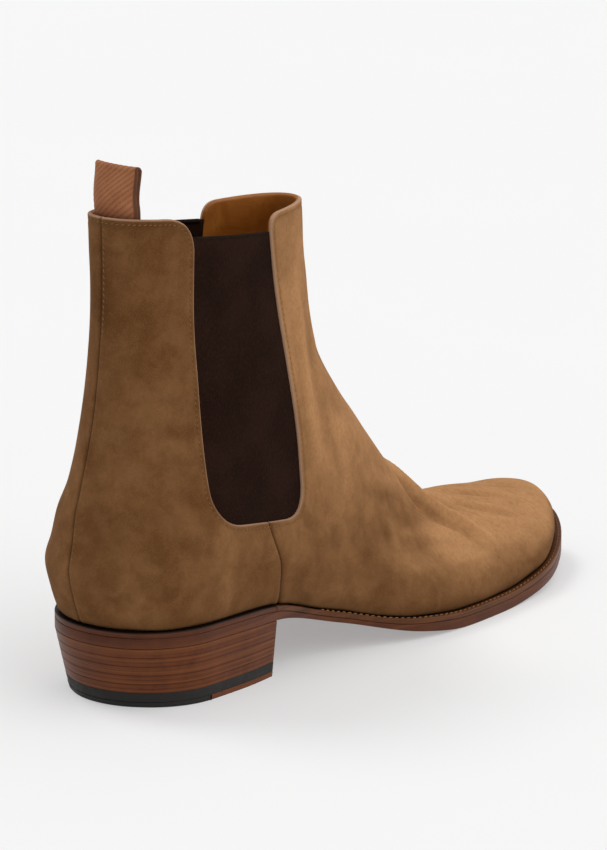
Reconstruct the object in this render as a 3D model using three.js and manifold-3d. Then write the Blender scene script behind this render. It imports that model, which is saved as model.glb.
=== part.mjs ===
// A right Chelsea boot in suede: a hollow upper with elastic gores at both sides, a pull loop,
// an insole, a welt and heel rand, a leather outsole, and a stacked leather heel on a rubber top piece.
// Millimetres, +Z up. The toe points to -Y and the lateral (outer) side is -X.
// Inside this file a place on the boot is (s, out, z): s runs forward from the back of the outsole,
// out runs from the centre line to the lateral side, and z is the height over the floor.
import * as THREE from "three";
import { mergeVertices } from "three/addons/utils/BufferGeometryUtils.js";
import Module from "manifold-3d";

const wasm = await Module();
wasm.setup();

// ---- Driving sizes ----
const LENGTH = 303; // outsole, heel to toe
const BALL_WIDTH = 104; // outsole, across the ball
const WAIST_WIDTH = 64; // outsole, under the arch
const HEEL_WIDTH = 72; // outsole, at the heel seat
const TOE_WIDTH = 80; // outsole, where the round of the toe begins
const TOE_ROUND = 60; // length of the round of the toe
const HEEL_HEIGHT = 26.8; // floor to outsole, at the back of the heel
const BREAST_HEIGHT = 24.6; // floor to outsole, at the heel's front face
const HEEL_LENGTH = 79; // back of the outsole to the heel's front face
const TOE_SPRING = 14.5; // floor to outsole, at the toe
const COLLAR_BACK = 203.5; // floor to the collar's edge, at the back seam
const COLLAR_FRONT = 190.5; // floor to the collar's edge, at the front
const COLLAR_LENGTH = 124; // shaft at the collar, front to back
const COLLAR_WIDTH = 43; // shaft at the collar, side to side
const ANKLE_WIDTH = 60; // shaft at the ankle, side to side
const QUARTER_WIDTH = 77; // upper over the heel, side to side
const INSTEP_HEIGHT = 94.5; // floor to the top of the instep
const BALL_DEPTH = 43; // featherline to the top of the vamp, over the ball
const TOE_DEPTH = 16; // featherline to the top of the toe

const WALL = 2.4; // suede and lining together
const INSOLE = 2.5;
const WELT = 2.2;
const OUTSOLE = 4.5; // at the forefoot and the heel
const OUTSOLE_WAIST = 2.1;
const GAP = 0.3; // between two pieces that meet

// How far the outsole's edge stands out from the featherline.
const EDGE_HEEL = 1.6;
const EDGE_WAIST = 1.2;
const EDGE_BALL = 3.4;
const EDGE_TOE = 3.6;
const WELT_INSIDE = 7; // the welt's inner edge, in from the featherline

const GORE_TOP = 188; // the elastic's upper edge, over the floor
const GORE_BOTTOM = 69.5;
const GORE_CENTRE = 69.5; // s of the gore's middle line
const GORE_WIDTH_TOP = 50;
const GORE_WIDTH_BOTTOM = 58;
const GORE_TILT = 0.14; // the gore's two ends fall by this slope to the front
const GORE_ROUND = 15; // the gore's two lower corners
const COLLAR_ROUND_BACK = 17; // the suede's corners beside the gore
const COLLAR_ROUND_FRONT = 8;
const TOE_IN = 3; // the toe's turn to the medial side
const GORE_DEPTH = 1.0; // the elastic lies this far under the suede's face
const COLLAR_DROP = 2.5; // the back collar's fall from the seam to the gore
const FRONT_DROP = -1; // the front collar's fall from its peak to the gore

const LOOP_WIDTH = 22;
const LOOP_HEIGHT = 20; // over the back collar
const LOOP_TAPE = 1.2; // thickness of the tape
const LOOP_BEND = 0.7; // inner radius of the fold at the top
const LOOP_LEAN = 6; // the fold's lean to the front
const LOOP_TUCK = 20; // length sewn inside the collar

const LIFTS = 5; // leather lifts in the heel stack
const HEEL_TAPER_BACK = 6.5; // the heel's back, from the outsole to the floor
const HEEL_TAPER_SIDE = 2.6;
const TOP_PIECE = 6.6; // rubber top piece, thickness
const TIP_LENGTH = 41; // leather front of the top piece
const TIP_DEPTH = 2.4;

// Mesh steps.
const ROUND_STEPS = 60; // points round each section of the last
const ROWS_PER_SPAN = 3; // rows between two sections
const LOOP_STEPS = 8; // along each leg, round the fold and across the tape

// ---- Curves ----

// A smooth function through [x, y] points that doesn't overshoot, so a flat stretch stays flat.
function through(points) {
  const slopes = points.slice(1).map((p, i) => (p[1] - points[i][1]) / (p[0] - points[i][0]));
  const tangents = points.map((_, i) => {
    if (i === 0) return slopes[0];
    if (i === slopes.length) return slopes[i - 1];
    const [a, b] = [slopes[i - 1], slopes[i]];
    return a * b <= 0 ? 0 : (2 * a * b) / (a + b);
  });
  return (x) => {
    let i = points.findIndex((p) => p[0] > x) - 1;
    if (i === -2) i = points.length - 2;
    i = Math.max(i, 0);
    const [x0, y0] = points[i];
    const [x1, y1] = points[i + 1];
    const h = x1 - x0;
    const u = Math.min(Math.max((x - x0) / h, 0), 1);
    const [u2, u3] = [u * u, u * u * u];
    return (
      y0 * (2 * u3 - 3 * u2 + 1) +
      h * tangents[i] * (u3 - 2 * u2 + u) +
      y1 * (3 * u2 - 2 * u3) +
      h * tangents[i + 1] * (u3 - u2)
    );
  };
}

// A Catmull-Rom value through evenly spaced values, at u from 0 to 1.
function along(values, u) {
  const last = values.length - 1;
  const at = Math.min(Math.max(u, 0), 1) * last;
  const i = Math.min(Math.floor(at), last - 1);
  const f = at - i;
  const [b, c] = [values[i], values[i + 1]];
  const a = i > 0 ? values[i - 1] : 2 * b - c;
  const d = i < last - 1 ? values[i + 2] : 2 * c - b;
  const [square, cube] = [2 * a - 5 * b + 4 * c - d, 3 * b - a - 3 * c + d];
  return 0.5 * (2 * b + (c - a) * f + square * f ** 2 + cube * f ** 3);
}

// The round of a section's end: 0 at the end, 1 from a distance of 1 on, with an exponent for its fullness.
function rounded(x, fullness) {
  return x >= 1 ? 1 : (1 - (1 - Math.max(x, 0)) ** fullness) ** (1 / fullness);
}

// ---- The last ----

// Height of the outsole's underside: heel seat, arch, a flat spot at the ball, and toe spring.
const soleHeight = through([
  [0, HEEL_HEIGHT],
  [0.6 * HEEL_LENGTH, HEEL_HEIGHT + 0.36 * (BREAST_HEIGHT - HEEL_HEIGHT)],
  [HEEL_LENGTH, BREAST_HEIGHT],
  [0.4 * LENGTH, 0.56 * BREAST_HEIGHT],
  [0.53 * LENGTH, 0.13 * BREAST_HEIGHT],
  [0.62 * LENGTH, 0],
  [0.71 * LENGTH, 0],
  [0.83 * LENGTH, 0.24 * TOE_SPRING],
  [0.93 * LENGTH, 0.65 * TOE_SPRING],
  [LENGTH, TOE_SPRING],
]);
const outsoleDepth = through([
  [0, OUTSOLE],
  [0.8 * HEEL_LENGTH, OUTSOLE],
  [0.36 * LENGTH, OUTSOLE_WAIST],
  [0.44 * LENGTH, OUTSOLE_WAIST],
  [0.6 * LENGTH, OUTSOLE],
  [LENGTH, OUTSOLE],
]);
const feather = (s) => soleHeight(s) + outsoleDepth(s) + WELT + 2 * GAP;

const HEEL_END = EDGE_HEEL; // s of the featherline's two ends
const TOE_END = LENGTH - EDGE_TOE;
const half = {
  heel: HEEL_WIDTH / 2 - EDGE_HEEL,
  waist: WAIST_WIDTH / 2 - EDGE_WAIST,
  ball: BALL_WIDTH / 2 - EDGE_BALL,
  toe: TOE_WIDTH / 2 - EDGE_TOE,
  quarter: QUARTER_WIDTH / 2,
  ankle: ANKLE_WIDTH / 2,
  shin: 0.35 * (ANKLE_WIDTH / 2) + 0.65 * (COLLAR_WIDTH / 2),
  collar: COLLAR_WIDTH / 2,
};
const collarFrontS = 10 + COLLAR_LENGTH;

// The sections of the last, from the featherline up to the collar. Each is a closed ring.
// back and front are [s, z]; core is the half width at even stations from back to front;
// roundBack and roundFront are the lengths of the rounded ends in millimetres; sag is how much of the
// featherline's dip the ring keeps; swing moves the ring's middle to the lateral side.
const sections = [
  {
    back: [HEEL_END, feather(0)],
    front: [TOE_END, feather(LENGTH)],
    core: [half.heel, half.heel + 0.4, half.waist, half.ball - 2.6, half.ball - 2.4, half.toe],
    roundBack: 35, roundFront: TOE_ROUND, fullBack: 2.1, fullFront: 2, sag: 1, swing: 3,
  },
  {
    back: [HEEL_END - 4, feather(0) + 11],
    front: [TOE_END + 0.6, feather(LENGTH) + 0.35 * TOE_DEPTH],
    core: [
      half.quarter - 2, half.quarter - 0.5, half.waist + 6,
      half.ball - 0.6, half.ball - 1.5, half.toe - 1,
    ],
    roundBack: 38, roundFront: TOE_ROUND + 2, fullBack: 2.1, fullFront: 2, sag: 1, swing: 2.5,
  },
  {
    back: [HEEL_END - 6.8, feather(0) + 23],
    front: [TOE_END - 6, feather(LENGTH) + 0.65 * TOE_DEPTH],
    core: [
      half.quarter - 0.5, half.quarter + 1, half.waist + 8,
      half.ball - 4.5, half.ball - 7, half.toe - 7,
    ],
    roundBack: 42, roundFront: TOE_ROUND + 4, fullBack: 2.1, fullFront: 2, sag: 0.85, swing: 2.5,
  },
  {
    back: [HEEL_END - 5, feather(0) + 34],
    front: [TOE_END - 32, feather(0.88 * LENGTH) + 1.35 * TOE_DEPTH],
    core: [half.quarter - 1, half.quarter, half.quarter, half.ball - 11, half.ball - 14, half.ball - 16],
    roundBack: 48, roundFront: 76, fullBack: 2.1, fullFront: 2, sag: 0.6, swing: 1.5,
  },
  {
    back: [HEEL_END - 3, feather(0) + 46],
    front: [0.77 * LENGTH, feather(0.77 * LENGTH) + 0.72 * BALL_DEPTH],
    core: [
      half.quarter - 2, half.quarter - 1, half.quarter - 1,
      half.ball - 14, half.ball - 18, half.ball - 20,
    ],
    roundBack: 54, roundFront: 82, fullBack: 2.1, fullFront: 2, sag: 0.35, swing: 1,
  },
  {
    back: [HEEL_END + 0.5, feather(0) + 59],
    front: [0.655 * LENGTH, feather(0.655 * LENGTH) + 1.14 * BALL_DEPTH],
    core: [
      half.quarter - 3, half.quarter - 2.5, half.quarter - 3,
      half.quarter - 4, half.quarter - 6, half.quarter - 7,
    ],
    roundBack: 70, roundFront: 80, fullBack: 2.1, fullFront: 2, sag: 0.12, swing: -0.5,
  },
  {
    back: [HEEL_END + 4.5, feather(0) + 75],
    front: [0.535 * LENGTH, INSTEP_HEIGHT],
    core: Array(6).fill(half.ankle + 3.5),
    roundBack: 80, roundFront: 72, fullBack: 2.15, fullFront: 2, sag: 0, swing: -0.8,
  },
  {
    back: [HEEL_END + 8, feather(0) + 97],
    front: [0.457 * LENGTH, 1.35 * INSTEP_HEIGHT],
    core: Array(6).fill(half.ankle),
    roundBack: 80, roundFront: 64, fullBack: 2.2, fullFront: 2.1, sag: 0, swing: -0.3,
  },
  {
    back: [HEEL_END + 9.5, feather(0) + 126],
    front: [collarFrontS, COLLAR_FRONT - 27],
    core: [half.shin, half.shin, half.shin - 0.4, half.shin - 1.2, half.shin - 1.8, half.shin - 2],
    roundBack: 72, roundFront: 60, fullBack: 2.3, fullFront: 2.2, sag: 0, swing: 0.9,
  },
  {
    back: [HEEL_END + 8.5, COLLAR_BACK + 12],
    front: [collarFrontS, COLLAR_FRONT + 14],
    core: [
      half.collar, half.collar, half.collar - 1,
      half.collar - 3, half.collar - 4.2, half.collar - 4.5,
    ],
    roundBack: 60, roundFront: 60, fullBack: 2.4, fullFront: 2.2, sag: 0, swing: 2.5,
  },
];
const BALL_SKEW = 0.035; // the lateral ball lies this far behind the middle, the medial this far ahead

// One value of the sections, at height w from 0 (featherline) to 1 (above the collar).
const track = (read, w) => along(sections.map(read), w);

// The last's surface: v runs round from the back over the lateral side, the toe and the medial side.
function lastPoint(v, w) {
  const side = Math.sin(v) >= 0 ? 1 : -1;
  const t = (1 - Math.cos(v)) / 2;
  const [backS, backZ] = [track((k) => k.back[0], w), track((k) => k.back[1], w)];
  const [frontS, frontZ] = [track((k) => k.front[0], w), track((k) => k.front[1], w)];
  const length = frontS - backS;
  const low = Math.max(0, 1 - 2 * w);
  const station = t + side * BALL_SKEW * low * Math.sin(Math.PI * t) ** 2;
  const core = along([0, 1, 2, 3, 4, 5].map((i) => track((k) => k.core[i], w)), station);
  const width =
    core *
    rounded((t * length) / track((k) => k.roundBack, w), track((k) => k.fullBack, w)) *
    rounded(((1 - t) * length) / track((k) => k.roundFront, w), track((k) => k.fullFront, w));
  const s = backS + t * length;
  const chord = feather(0) + (feather(LENGTH) - feather(0)) * t;
  const dip = feather(HEEL_END + t * (TOE_END - HEEL_END)) - chord;
  const out = track((k) => k.swing, w) * Math.sin(Math.PI * t) ** 2 + side * width - TOE_IN * low * t ** 4;
  const z = backZ + (frontZ - backZ) * t + track((k) => k.sag, w) * dip;
  return place(s, out, z);
}

// (s, out, z) in the part's own frame.
function place(s, out, z) {
  return new THREE.Vector3(-out, -s, z);
}

// The last's surface moved inwards by depth.
function insideLast(v, w, depth) {
  if (!depth) return lastPoint(v, w);
  const step = 0.004;
  const across = lastPoint(v + step, w).sub(lastPoint(v - step, w));
  const up = lastPoint(v, Math.min(w + step, 1)).sub(lastPoint(v, Math.max(w - step, 0)));
  const normal = across.cross(up).normalize();
  return lastPoint(v, w).addScaledVector(normal, -depth);
}

// ---- Solids ----

function solidFrom(positions, triangles) {
  const geometry = new THREE.BufferGeometry();
  const numbers = positions.flatMap((p) => [p.x, p.y, p.z]);
  geometry.setAttribute("position", new THREE.Float32BufferAttribute(numbers, 3));
  geometry.setIndex(triangles);
  return solidOf(geometry);
}

function solidOf(geometry) {
  const bare = geometry.clone();
  bare.deleteAttribute("normal");
  bare.deleteAttribute("uv");
  const merged = mergeVertices(bare, 1e-4);
  return new wasm.Manifold(
    new wasm.Mesh({
      numProp: 3,
      vertProperties: merged.attributes.position.array,
      triVerts: new Uint32Array(merged.index.array),
    }),
  );
}

// Two closed rings of points with equal counts, joined by a band of faces.
function band(triangles, a, b, count) {
  for (let i = 0; i < count; i++) {
    const j = (i + 1) % count;
    triangles.push(a + i, b + j, a + j, a + i, b + i, b + j);
  }
}

// The wall of the last between two depths, from row w0 up to row w1.
function wall(outerDepth, innerDepth, w0, w1) {
  const rows = Math.round((w1 - w0) * (sections.length - 1) * ROWS_PER_SPAN);
  const positions = [];
  for (const depth of [outerDepth, innerDepth])
    for (let row = 0; row <= rows; row++)
      for (let i = 0; i < ROUND_STEPS; i++)
        positions.push(insideLast((2 * Math.PI * i) / ROUND_STEPS, w0 + ((w1 - w0) * row) / rows, depth));
  const ring = (skin, row) => (skin * (rows + 1) + row) * ROUND_STEPS;
  const triangles = [];
  for (let row = 0; row < rows; row++) {
    band(triangles, ring(0, row + 1), ring(0, row), ROUND_STEPS);
    band(triangles, ring(1, row), ring(1, row + 1), ROUND_STEPS);
  }
  band(triangles, ring(0, 0), ring(1, 0), ROUND_STEPS);
  band(triangles, ring(1, rows), ring(0, rows), ROUND_STEPS);
  return solidFrom(positions, triangles);
}

// A slab with an outline of [s, out] points, symmetric in count, between two heights.
// The faces run across from the lateral to the medial side, so it can curve along its length.
function slab(outlineTop, outlineBottom, topZ, bottomZ) {
  const count = outlineTop.length;
  const positions = [
    ...outlineTop.map(([s, out]) => place(s, out, topZ(s))),
    ...outlineBottom.map(([s, out]) => place(s, out, bottomZ(s))),
  ];
  const triangles = [];
  band(triangles, 0, count, count);
  for (const [start, up] of [[0, true], [count, false]])
    for (let i = 0; i < count / 2; i++) {
      const [a, b] = [start + i, start + i + 1];
      const [c, d] = [start + ((count - i - 1) % count), start + ((count - i) % count)];
      for (const [p, q, r] of [[a, b, c], [a, c, d]])
        if (p !== q && q !== r && p !== r) triangles.push(...(up ? [p, q, r] : [p, r, q]));
    }
  return solidFrom(positions, triangles);
}

// A side view outline in (s, z), made solid across the boot from lateral out0 to out1.
function across(shape, out0, out1) {
  const depth = out1 - out0;
  const geometry = new THREE.ExtrudeGeometry(shape, { depth, bevelEnabled: false, curveSegments: 10 });
  const position = geometry.attributes.position;
  for (let i = 0; i < position.count; i++) {
    const [s, z, out] = [position.getX(i), position.getY(i), position.getZ(i) + out0];
    const p = place(s, out, z);
    position.setXYZ(i, p.x, p.y, p.z);
  }
  return solidOf(geometry);
}

function block(s0, s1, z0, z1) {
  const shape = new THREE.Shape().moveTo(s0, z0).lineTo(s1, z0).lineTo(s1, z1).lineTo(s0, z1).closePath();
  return across(shape, -LENGTH, LENGTH);
}

// ---- Outlines seen from above ----

// How far the sole's edge stands out from the featherline, at t from heel to toe.
const edgeMargin = through([
  [0, EDGE_HEEL],
  [0.26, EDGE_HEEL],
  [0.42, EDGE_WAIST],
  [0.6, EDGE_BALL],
  [0.85, EDGE_BALL],
  [1, EDGE_TOE],
]);

// The featherline as [s, out] points, moved outwards by margin(t).
function outline(margin) {
  const points = [];
  for (let i = 0; i < ROUND_STEPS; i++) {
    const v = (2 * Math.PI * i) / ROUND_STEPS;
    const step = 0.01;
    const [a, b] = [lastPoint(v - step, 0), lastPoint(v + step, 0)];
    const run = new THREE.Vector2(-(b.y - a.y), -(b.x - a.x)).normalize();
    const p = lastPoint(v, 0);
    const m = margin((1 - Math.cos(v)) / 2);
    points.push([-p.y - run.y * m, -p.x + run.x * m]);
  }
  return points;
}

// The heel's outline, a D shape, at a share of its height down from the outsole.
function heelOutline(share) {
  const points = outline(edgeMargin);
  const back = points.filter(([s]) => s < HEEL_LENGTH - 2);
  const lateral = back.filter(([, out], i) => i < back.length / 2);
  const corner = (side) => {
    const near = points.filter(([, out]) => Math.sign(out) === side);
    const after = near.filter(([s]) => s >= HEEL_LENGTH - 2).sort((a, b) => a[0] - b[0])[0];
    const before = near.filter(([s]) => s < HEEL_LENGTH - 2).sort((a, b) => b[0] - a[0])[0];
    const f = (HEEL_LENGTH - before[0]) / (after[0] - before[0]);
    return [HEEL_LENGTH, before[1] + f * (after[1] - before[1])];
  };
  const ring = [...lateral, corner(1), corner(-1), ...back.slice(lateral.length)];
  return ring.map(([s, out]) => [
    s + HEEL_TAPER_BACK * share * (1 - s / HEEL_LENGTH),
    out - Math.sign(out) * HEEL_TAPER_SIDE * share * Math.min(1, Math.abs(out) / 20),
  ]);
}

// ---- Side view shapes ----

// s of the gore's edge at a height, on the back side (-1) or the front side (1).
function goreEdge(z, side, margin = 0) {
  const slope = (GORE_WIDTH_TOP - GORE_WIDTH_BOTTOM) / 2 / (GORE_TOP - GORE_BOTTOM);
  return GORE_CENTRE + side * (GORE_WIDTH_BOTTOM / 2 + margin + slope * (z - GORE_BOTTOM));
}

// A height on the gore, lower to the front by the tilt.
const tilted = (z, s) => z - GORE_TILT * (s - GORE_CENTRE);

// The elastic gore's outline, grown by margin.
function goreShape(margin, top) {
  const bottom = GORE_BOTTOM - margin;
  const edges = (z) => [goreEdge(z, -1, margin), goreEdge(z, 1, margin)];
  const [back, front] = edges(bottom);
  const [backUp, frontUp] = edges(bottom + GORE_ROUND);
  const [backTop, frontTop] = edges(top);
  return new THREE.Shape()
    .moveTo(backTop, tilted(top, backTop))
    .lineTo(backUp, tilted(bottom + GORE_ROUND, backUp))
    .quadraticCurveTo(back, tilted(bottom, back), back + GORE_ROUND, tilted(bottom, back + GORE_ROUND))
    .lineTo(front - GORE_ROUND, tilted(bottom, front - GORE_ROUND))
    .quadraticCurveTo(front, tilted(bottom, front), frontUp, tilted(bottom + GORE_ROUND, frontUp))
    .lineTo(frontTop, tilted(top, frontTop))
    .closePath();
}

// Everything over the suede's top edge, with the round corners that run down into the gore.
function collarShape() {
  const backZ = COLLAR_BACK - COLLAR_DROP;
  const frontZ = COLLAR_FRONT - FRONT_DROP;
  const [backUnder, frontUnder] = [backZ - COLLAR_ROUND_BACK, frontZ - COLLAR_ROUND_FRONT];
  const [back, front] = [goreEdge(backZ, -1), goreEdge(frontZ, 1)];
  const over = COLLAR_BACK + 60;
  return new THREE.Shape()
    .moveTo(-30, over)
    .lineTo(-30, COLLAR_BACK + 0.5)
    .lineTo(HEEL_END + 9, COLLAR_BACK)
    .lineTo(back - COLLAR_ROUND_BACK, backZ + 0.6)
    .quadraticCurveTo(back, backZ, goreEdge(backUnder, -1), backUnder)
    .lineTo(GORE_CENTRE, backUnder)
    .lineTo(GORE_CENTRE, frontUnder)
    .lineTo(goreEdge(frontUnder, 1), frontUnder)
    .quadraticCurveTo(front, frontZ, front + COLLAR_ROUND_FRONT, frontZ)
    .lineTo(collarFrontS, COLLAR_FRONT)
    .lineTo(LENGTH, COLLAR_FRONT)
    .lineTo(LENGTH, over)
    .closePath();
}

// ---- Pieces ----

// The value between low and high at which a rising function reaches a target.
function reach(rising, target, low, high) {
  for (let i = 0; i < 24; i++) {
    const middle = (low + high) / 2;
    if (rising(middle) < target) low = middle;
    else high = middle;
  }
  return (low + high) / 2;
}

// s of the place inside the back of the collar where the loop lies, at a height and a distance off centre.
function collarInside(out, z) {
  const w = reach((row) => lastPoint(0, row).z, z, 0.5, 1);
  const depth = WALL + 1.5 * GAP;
  const v = reach((angle) => -insideLast(angle, w, depth).x, Math.abs(out), 0, 1.2);
  return -insideLast(v, w, depth).y;
}

function upper() {
  return wall(0, WALL, 0, 1)
    .subtract(across(collarShape(), -LENGTH, LENGTH))
    .subtract(across(goreShape(0, COLLAR_FRONT), -LENGTH, LENGTH));
}

function gore(side) {
  const sideReach = side > 0 ? [1, LENGTH] : [-LENGTH, -1];
  const sheet = wall(GORE_DEPTH, WALL, 2 / (sections.length - 1), 1);
  return sheet.intersect(across(goreShape(-GAP, GORE_TOP), ...sideReach));
}

// The pull loop: a tape folded at the top, its two ends sewn inside the back of the collar.
// Across its width it follows the inside of the collar, and flattens out towards the fold.
function pullLoop() {
  const foot = COLLAR_BACK - LOOP_TUCK;
  const foldZ = COLLAR_BACK + LOOP_HEIGHT - LOOP_BEND - LOOP_TAPE;
  const middle = LOOP_TAPE / 2;
  const tucked = LOOP_TAPE + GAP; // from one leg's middle to the other's, where they are sewn
  const spread = 2 * LOOP_BEND + LOOP_TAPE;
  const lean = through([[foot, 0], [COLLAR_BACK + 4, 0], [foldZ, LOOP_LEAN]]);
  const open = through([[foot, tucked], [COLLAR_BACK, tucked], [foldZ, spread]]);
  const legZ = Array.from({ length: LOOP_STEPS + 1 }, (_, i) => foot + ((foldZ - foot) * i) / LOOP_STEPS);
  const wallS = (z) => collarInside(0, Math.min(z, COLLAR_BACK));
  const back = legZ.map((z) => [wallS(z) + middle + lean(z) - (open(z) - tucked) / 2, z]);
  const front = legZ.map((z) => [wallS(z) + middle + lean(z) + (open(z) + tucked) / 2, z]).reverse();
  const foldS = (back[LOOP_STEPS][0] + front[0][0]) / 2;
  const fold = [];
  for (let i = 1; i < LOOP_STEPS; i++) {
    const a = Math.PI - (Math.PI * i) / LOOP_STEPS;
    fold.push([foldS + (spread / 2) * Math.cos(a), foldZ + (spread / 2) * Math.sin(a)]);
  }
  const path = [...back, ...fold, ...front];
  const bend = through([[foot, 1], [COLLAR_BACK, 1], [foldZ, 0.25], [foldZ + spread, 0.1]]);
  const positions = [];
  path.forEach(([s, z], i) => {
    const [before, after] = [path[Math.max(i - 1, 0)], path[Math.min(i + 1, path.length - 1)]];
    const run = Math.hypot(after[0] - before[0], after[1] - before[1]);
    const [normalS, normalZ] = [-(after[1] - before[1]) / run, (after[0] - before[0]) / run];
    for (const face of [1, -1])
      for (let j = 0; j <= LOOP_STEPS; j++) {
        const out = face * (j / LOOP_STEPS - 0.5) * LOOP_WIDTH;
        const bulge = bend(z) * (collarInside(out, Math.min(z, COLLAR_BACK)) - wallS(z));
        positions.push(place(s + bulge + face * middle * normalS, out, z + face * middle * normalZ));
      }
  });
  const ring = 2 * (LOOP_STEPS + 1);
  const triangles = [];
  for (let i = 0; i < path.length - 1; i++) band(triangles, (i + 1) * ring, i * ring, ring);
  for (const [start, up] of [[0, false], [(path.length - 1) * ring, true]])
    for (let j = 0; j < LOOP_STEPS; j++) {
      const [a, b, c, d] = [start + j, start + j + 1, start + ring - 2 - j, start + ring - 1 - j];
      triangles.push(...(up ? [a, b, c, a, c, d] : [a, c, b, a, d, c]));
    }
  return solidFrom(positions, triangles);
}

function insole() {
  const ring = outline(() => -WALL - GAP - 0.3);
  return slab(ring, ring, (s) => feather(s) + INSOLE, feather);
}

// The strip between upper and outsole, before it is cut at the heel's front face.
function seatStrip() {
  const top = (s) => feather(s) - GAP;
  const bottom = (s) => feather(s) - GAP - WELT;
  const outer = outline(edgeMargin);
  const inner = outline(() => -WELT_INSIDE);
  const full = slab(outer, outer, top, bottom);
  return full.subtract(slab(inner, inner, (s) => top(s) + 1, (s) => bottom(s) - 1));
}

function welt() {
  return seatStrip().subtract(block(-LENGTH, HEEL_LENGTH, -LENGTH, LENGTH));
}

function heelRand() {
  return seatStrip().subtract(block(HEEL_LENGTH - GAP, 2 * LENGTH, -LENGTH, LENGTH));
}

function outsole() {
  const ring = outline(edgeMargin);
  return slab(ring, ring, (s) => soleHeight(s) + outsoleDepth(s), soleHeight);
}

function heelSlab(from, to, topZ, bottomZ) {
  return slab(heelOutline(from), heelOutline(to), topZ, bottomZ);
}

// The leather lifts share what is left over the top piece. Each is a slight wedge, and the first
// follows the outsole's underside.
function heelLift(number) {
  const top = (s) => soleHeight(s) - GAP;
  const height = (s) => (top(s) - TOP_PIECE) / LIFTS;
  const shareAt = (n) => (n * (HEEL_HEIGHT - TOP_PIECE)) / LIFTS / HEEL_HEIGHT;
  const lift = heelSlab(
    shareAt(number),
    shareAt(number + 1),
    (s) => top(s) - number * height(s) - (number ? GAP : 0),
    (s) => top(s) - (number + 1) * height(s),
  );
  return number ? lift : lift.subtract(outsole().translate([0, 0, -GAP]));
}

function topPieceBlank() {
  const share = 1 - TOP_PIECE / HEEL_HEIGHT;
  return heelSlab(share, 1, () => TOP_PIECE - GAP, () => 0);
}

const TIP_START = HEEL_LENGTH - TIP_LENGTH;

function topPieceRubber() {
  return topPieceBlank().subtract(block(TIP_START, LENGTH, -LENGTH, TIP_DEPTH));
}

function topPieceLeather() {
  return topPieceBlank()
    .subtract(block(-LENGTH, TIP_START + GAP, -LENGTH, LENGTH))
    .subtract(block(-LENGTH, LENGTH, TIP_DEPTH - GAP, LENGTH));
}

// ---- Materials and assembly ----

const material = (color, roughness) => new THREE.MeshStandardMaterial({ color, roughness, metalness: 0 });
const suede = material(0x7a5632, 0.95);
const elastic = material(0x2a1a14, 0.9);
const tape = material(0x96603f, 0.85);
const lining = material(0xb57a35, 0.6);
const soleLeather = material(0x6e3f2b, 0.45);
const rubber = material(0x1d1c18, 0.7);

const boot = new THREE.Group();

function add(name, solid, look) {
  const { vertProperties, triVerts } = solid.getMesh();
  const geometry = new THREE.BufferGeometry();
  geometry.setAttribute("position", new THREE.BufferAttribute(new Float32Array(vertProperties), 3));
  geometry.setIndex(new THREE.BufferAttribute(new Uint32Array(triVerts), 1));
  geometry.computeVertexNormals();
  const mesh = new THREE.Mesh(geometry, look);
  mesh.name = name;
  boot.add(mesh);
}

add("upper", upper(), suede);
add("gore_lateral", gore(1), elastic);
add("gore_medial", gore(-1), elastic);
add("pull_loop", pullLoop(), tape);
add("insole", insole(), lining);
add("welt", welt(), soleLeather);
add("heel_rand", heelRand(), soleLeather);
add("outsole", outsole(), soleLeather);
for (let i = 0; i < LIFTS; i++) add(`heel_lift_${i + 1}`, heelLift(i), soleLeather);
add("top_piece_rubber", topPieceRubber(), rubber);
add("top_piece_leather", topPieceLeather(), soleLeather);

// The origin is on the floor under the middle of the boot.
const box = new THREE.Box3().setFromObject(boot);
boot.position.set(-(box.min.x + box.max.x) / 2, -(box.min.y + box.max.y) / 2, -box.min.z);

export default boot;
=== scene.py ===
"""The looks of a right Chelsea boot in tan suede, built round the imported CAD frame.

Places on the boot are (s, out, z) in millimetres, as in the CAD: s runs forward from the back of the
outsole, out runs from the centre line to the lateral side, and z is the height over the floor.
"""
import math

import bmesh
import bpy
import numpy as np
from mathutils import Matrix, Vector

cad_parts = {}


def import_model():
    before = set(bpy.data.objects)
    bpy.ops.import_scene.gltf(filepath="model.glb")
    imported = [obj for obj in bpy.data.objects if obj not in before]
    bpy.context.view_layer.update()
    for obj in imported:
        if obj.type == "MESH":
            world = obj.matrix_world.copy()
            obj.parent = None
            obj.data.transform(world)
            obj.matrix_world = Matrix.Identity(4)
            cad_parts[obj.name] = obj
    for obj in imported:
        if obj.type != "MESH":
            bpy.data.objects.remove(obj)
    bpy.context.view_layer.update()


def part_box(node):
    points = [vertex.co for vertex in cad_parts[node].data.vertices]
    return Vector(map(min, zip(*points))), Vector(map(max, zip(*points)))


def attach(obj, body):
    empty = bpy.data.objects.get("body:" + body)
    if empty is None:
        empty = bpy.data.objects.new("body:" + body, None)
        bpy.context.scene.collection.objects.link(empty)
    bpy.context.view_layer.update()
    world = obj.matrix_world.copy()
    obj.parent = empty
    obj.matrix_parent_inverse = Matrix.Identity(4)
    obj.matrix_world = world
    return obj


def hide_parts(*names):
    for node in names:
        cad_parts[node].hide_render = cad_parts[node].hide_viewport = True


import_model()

MM = 0.001

# ---- Camera ----

VIEW_AZIMUTH, VIEW_ELEVATION = math.radians(218.9), math.radians(15.1)
VIEW_DISTANCE = 2.94
LENS, SENSOR = 296.0, 36.0
MIDDLE = Vector((0, 0, 0.1))  # the camera circles this point
AIM_RIGHT, AIM_UP = -0.0062, -0.012  # from there to the middle of the picture


def from_angle(azimuth, elevation):
    """The direction towards a place seen at these angles, in radians. 0 is in front of the toe."""
    flat = math.cos(elevation)
    return Vector((math.sin(azimuth) * flat, -math.cos(azimuth) * flat, math.sin(elevation)))


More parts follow.
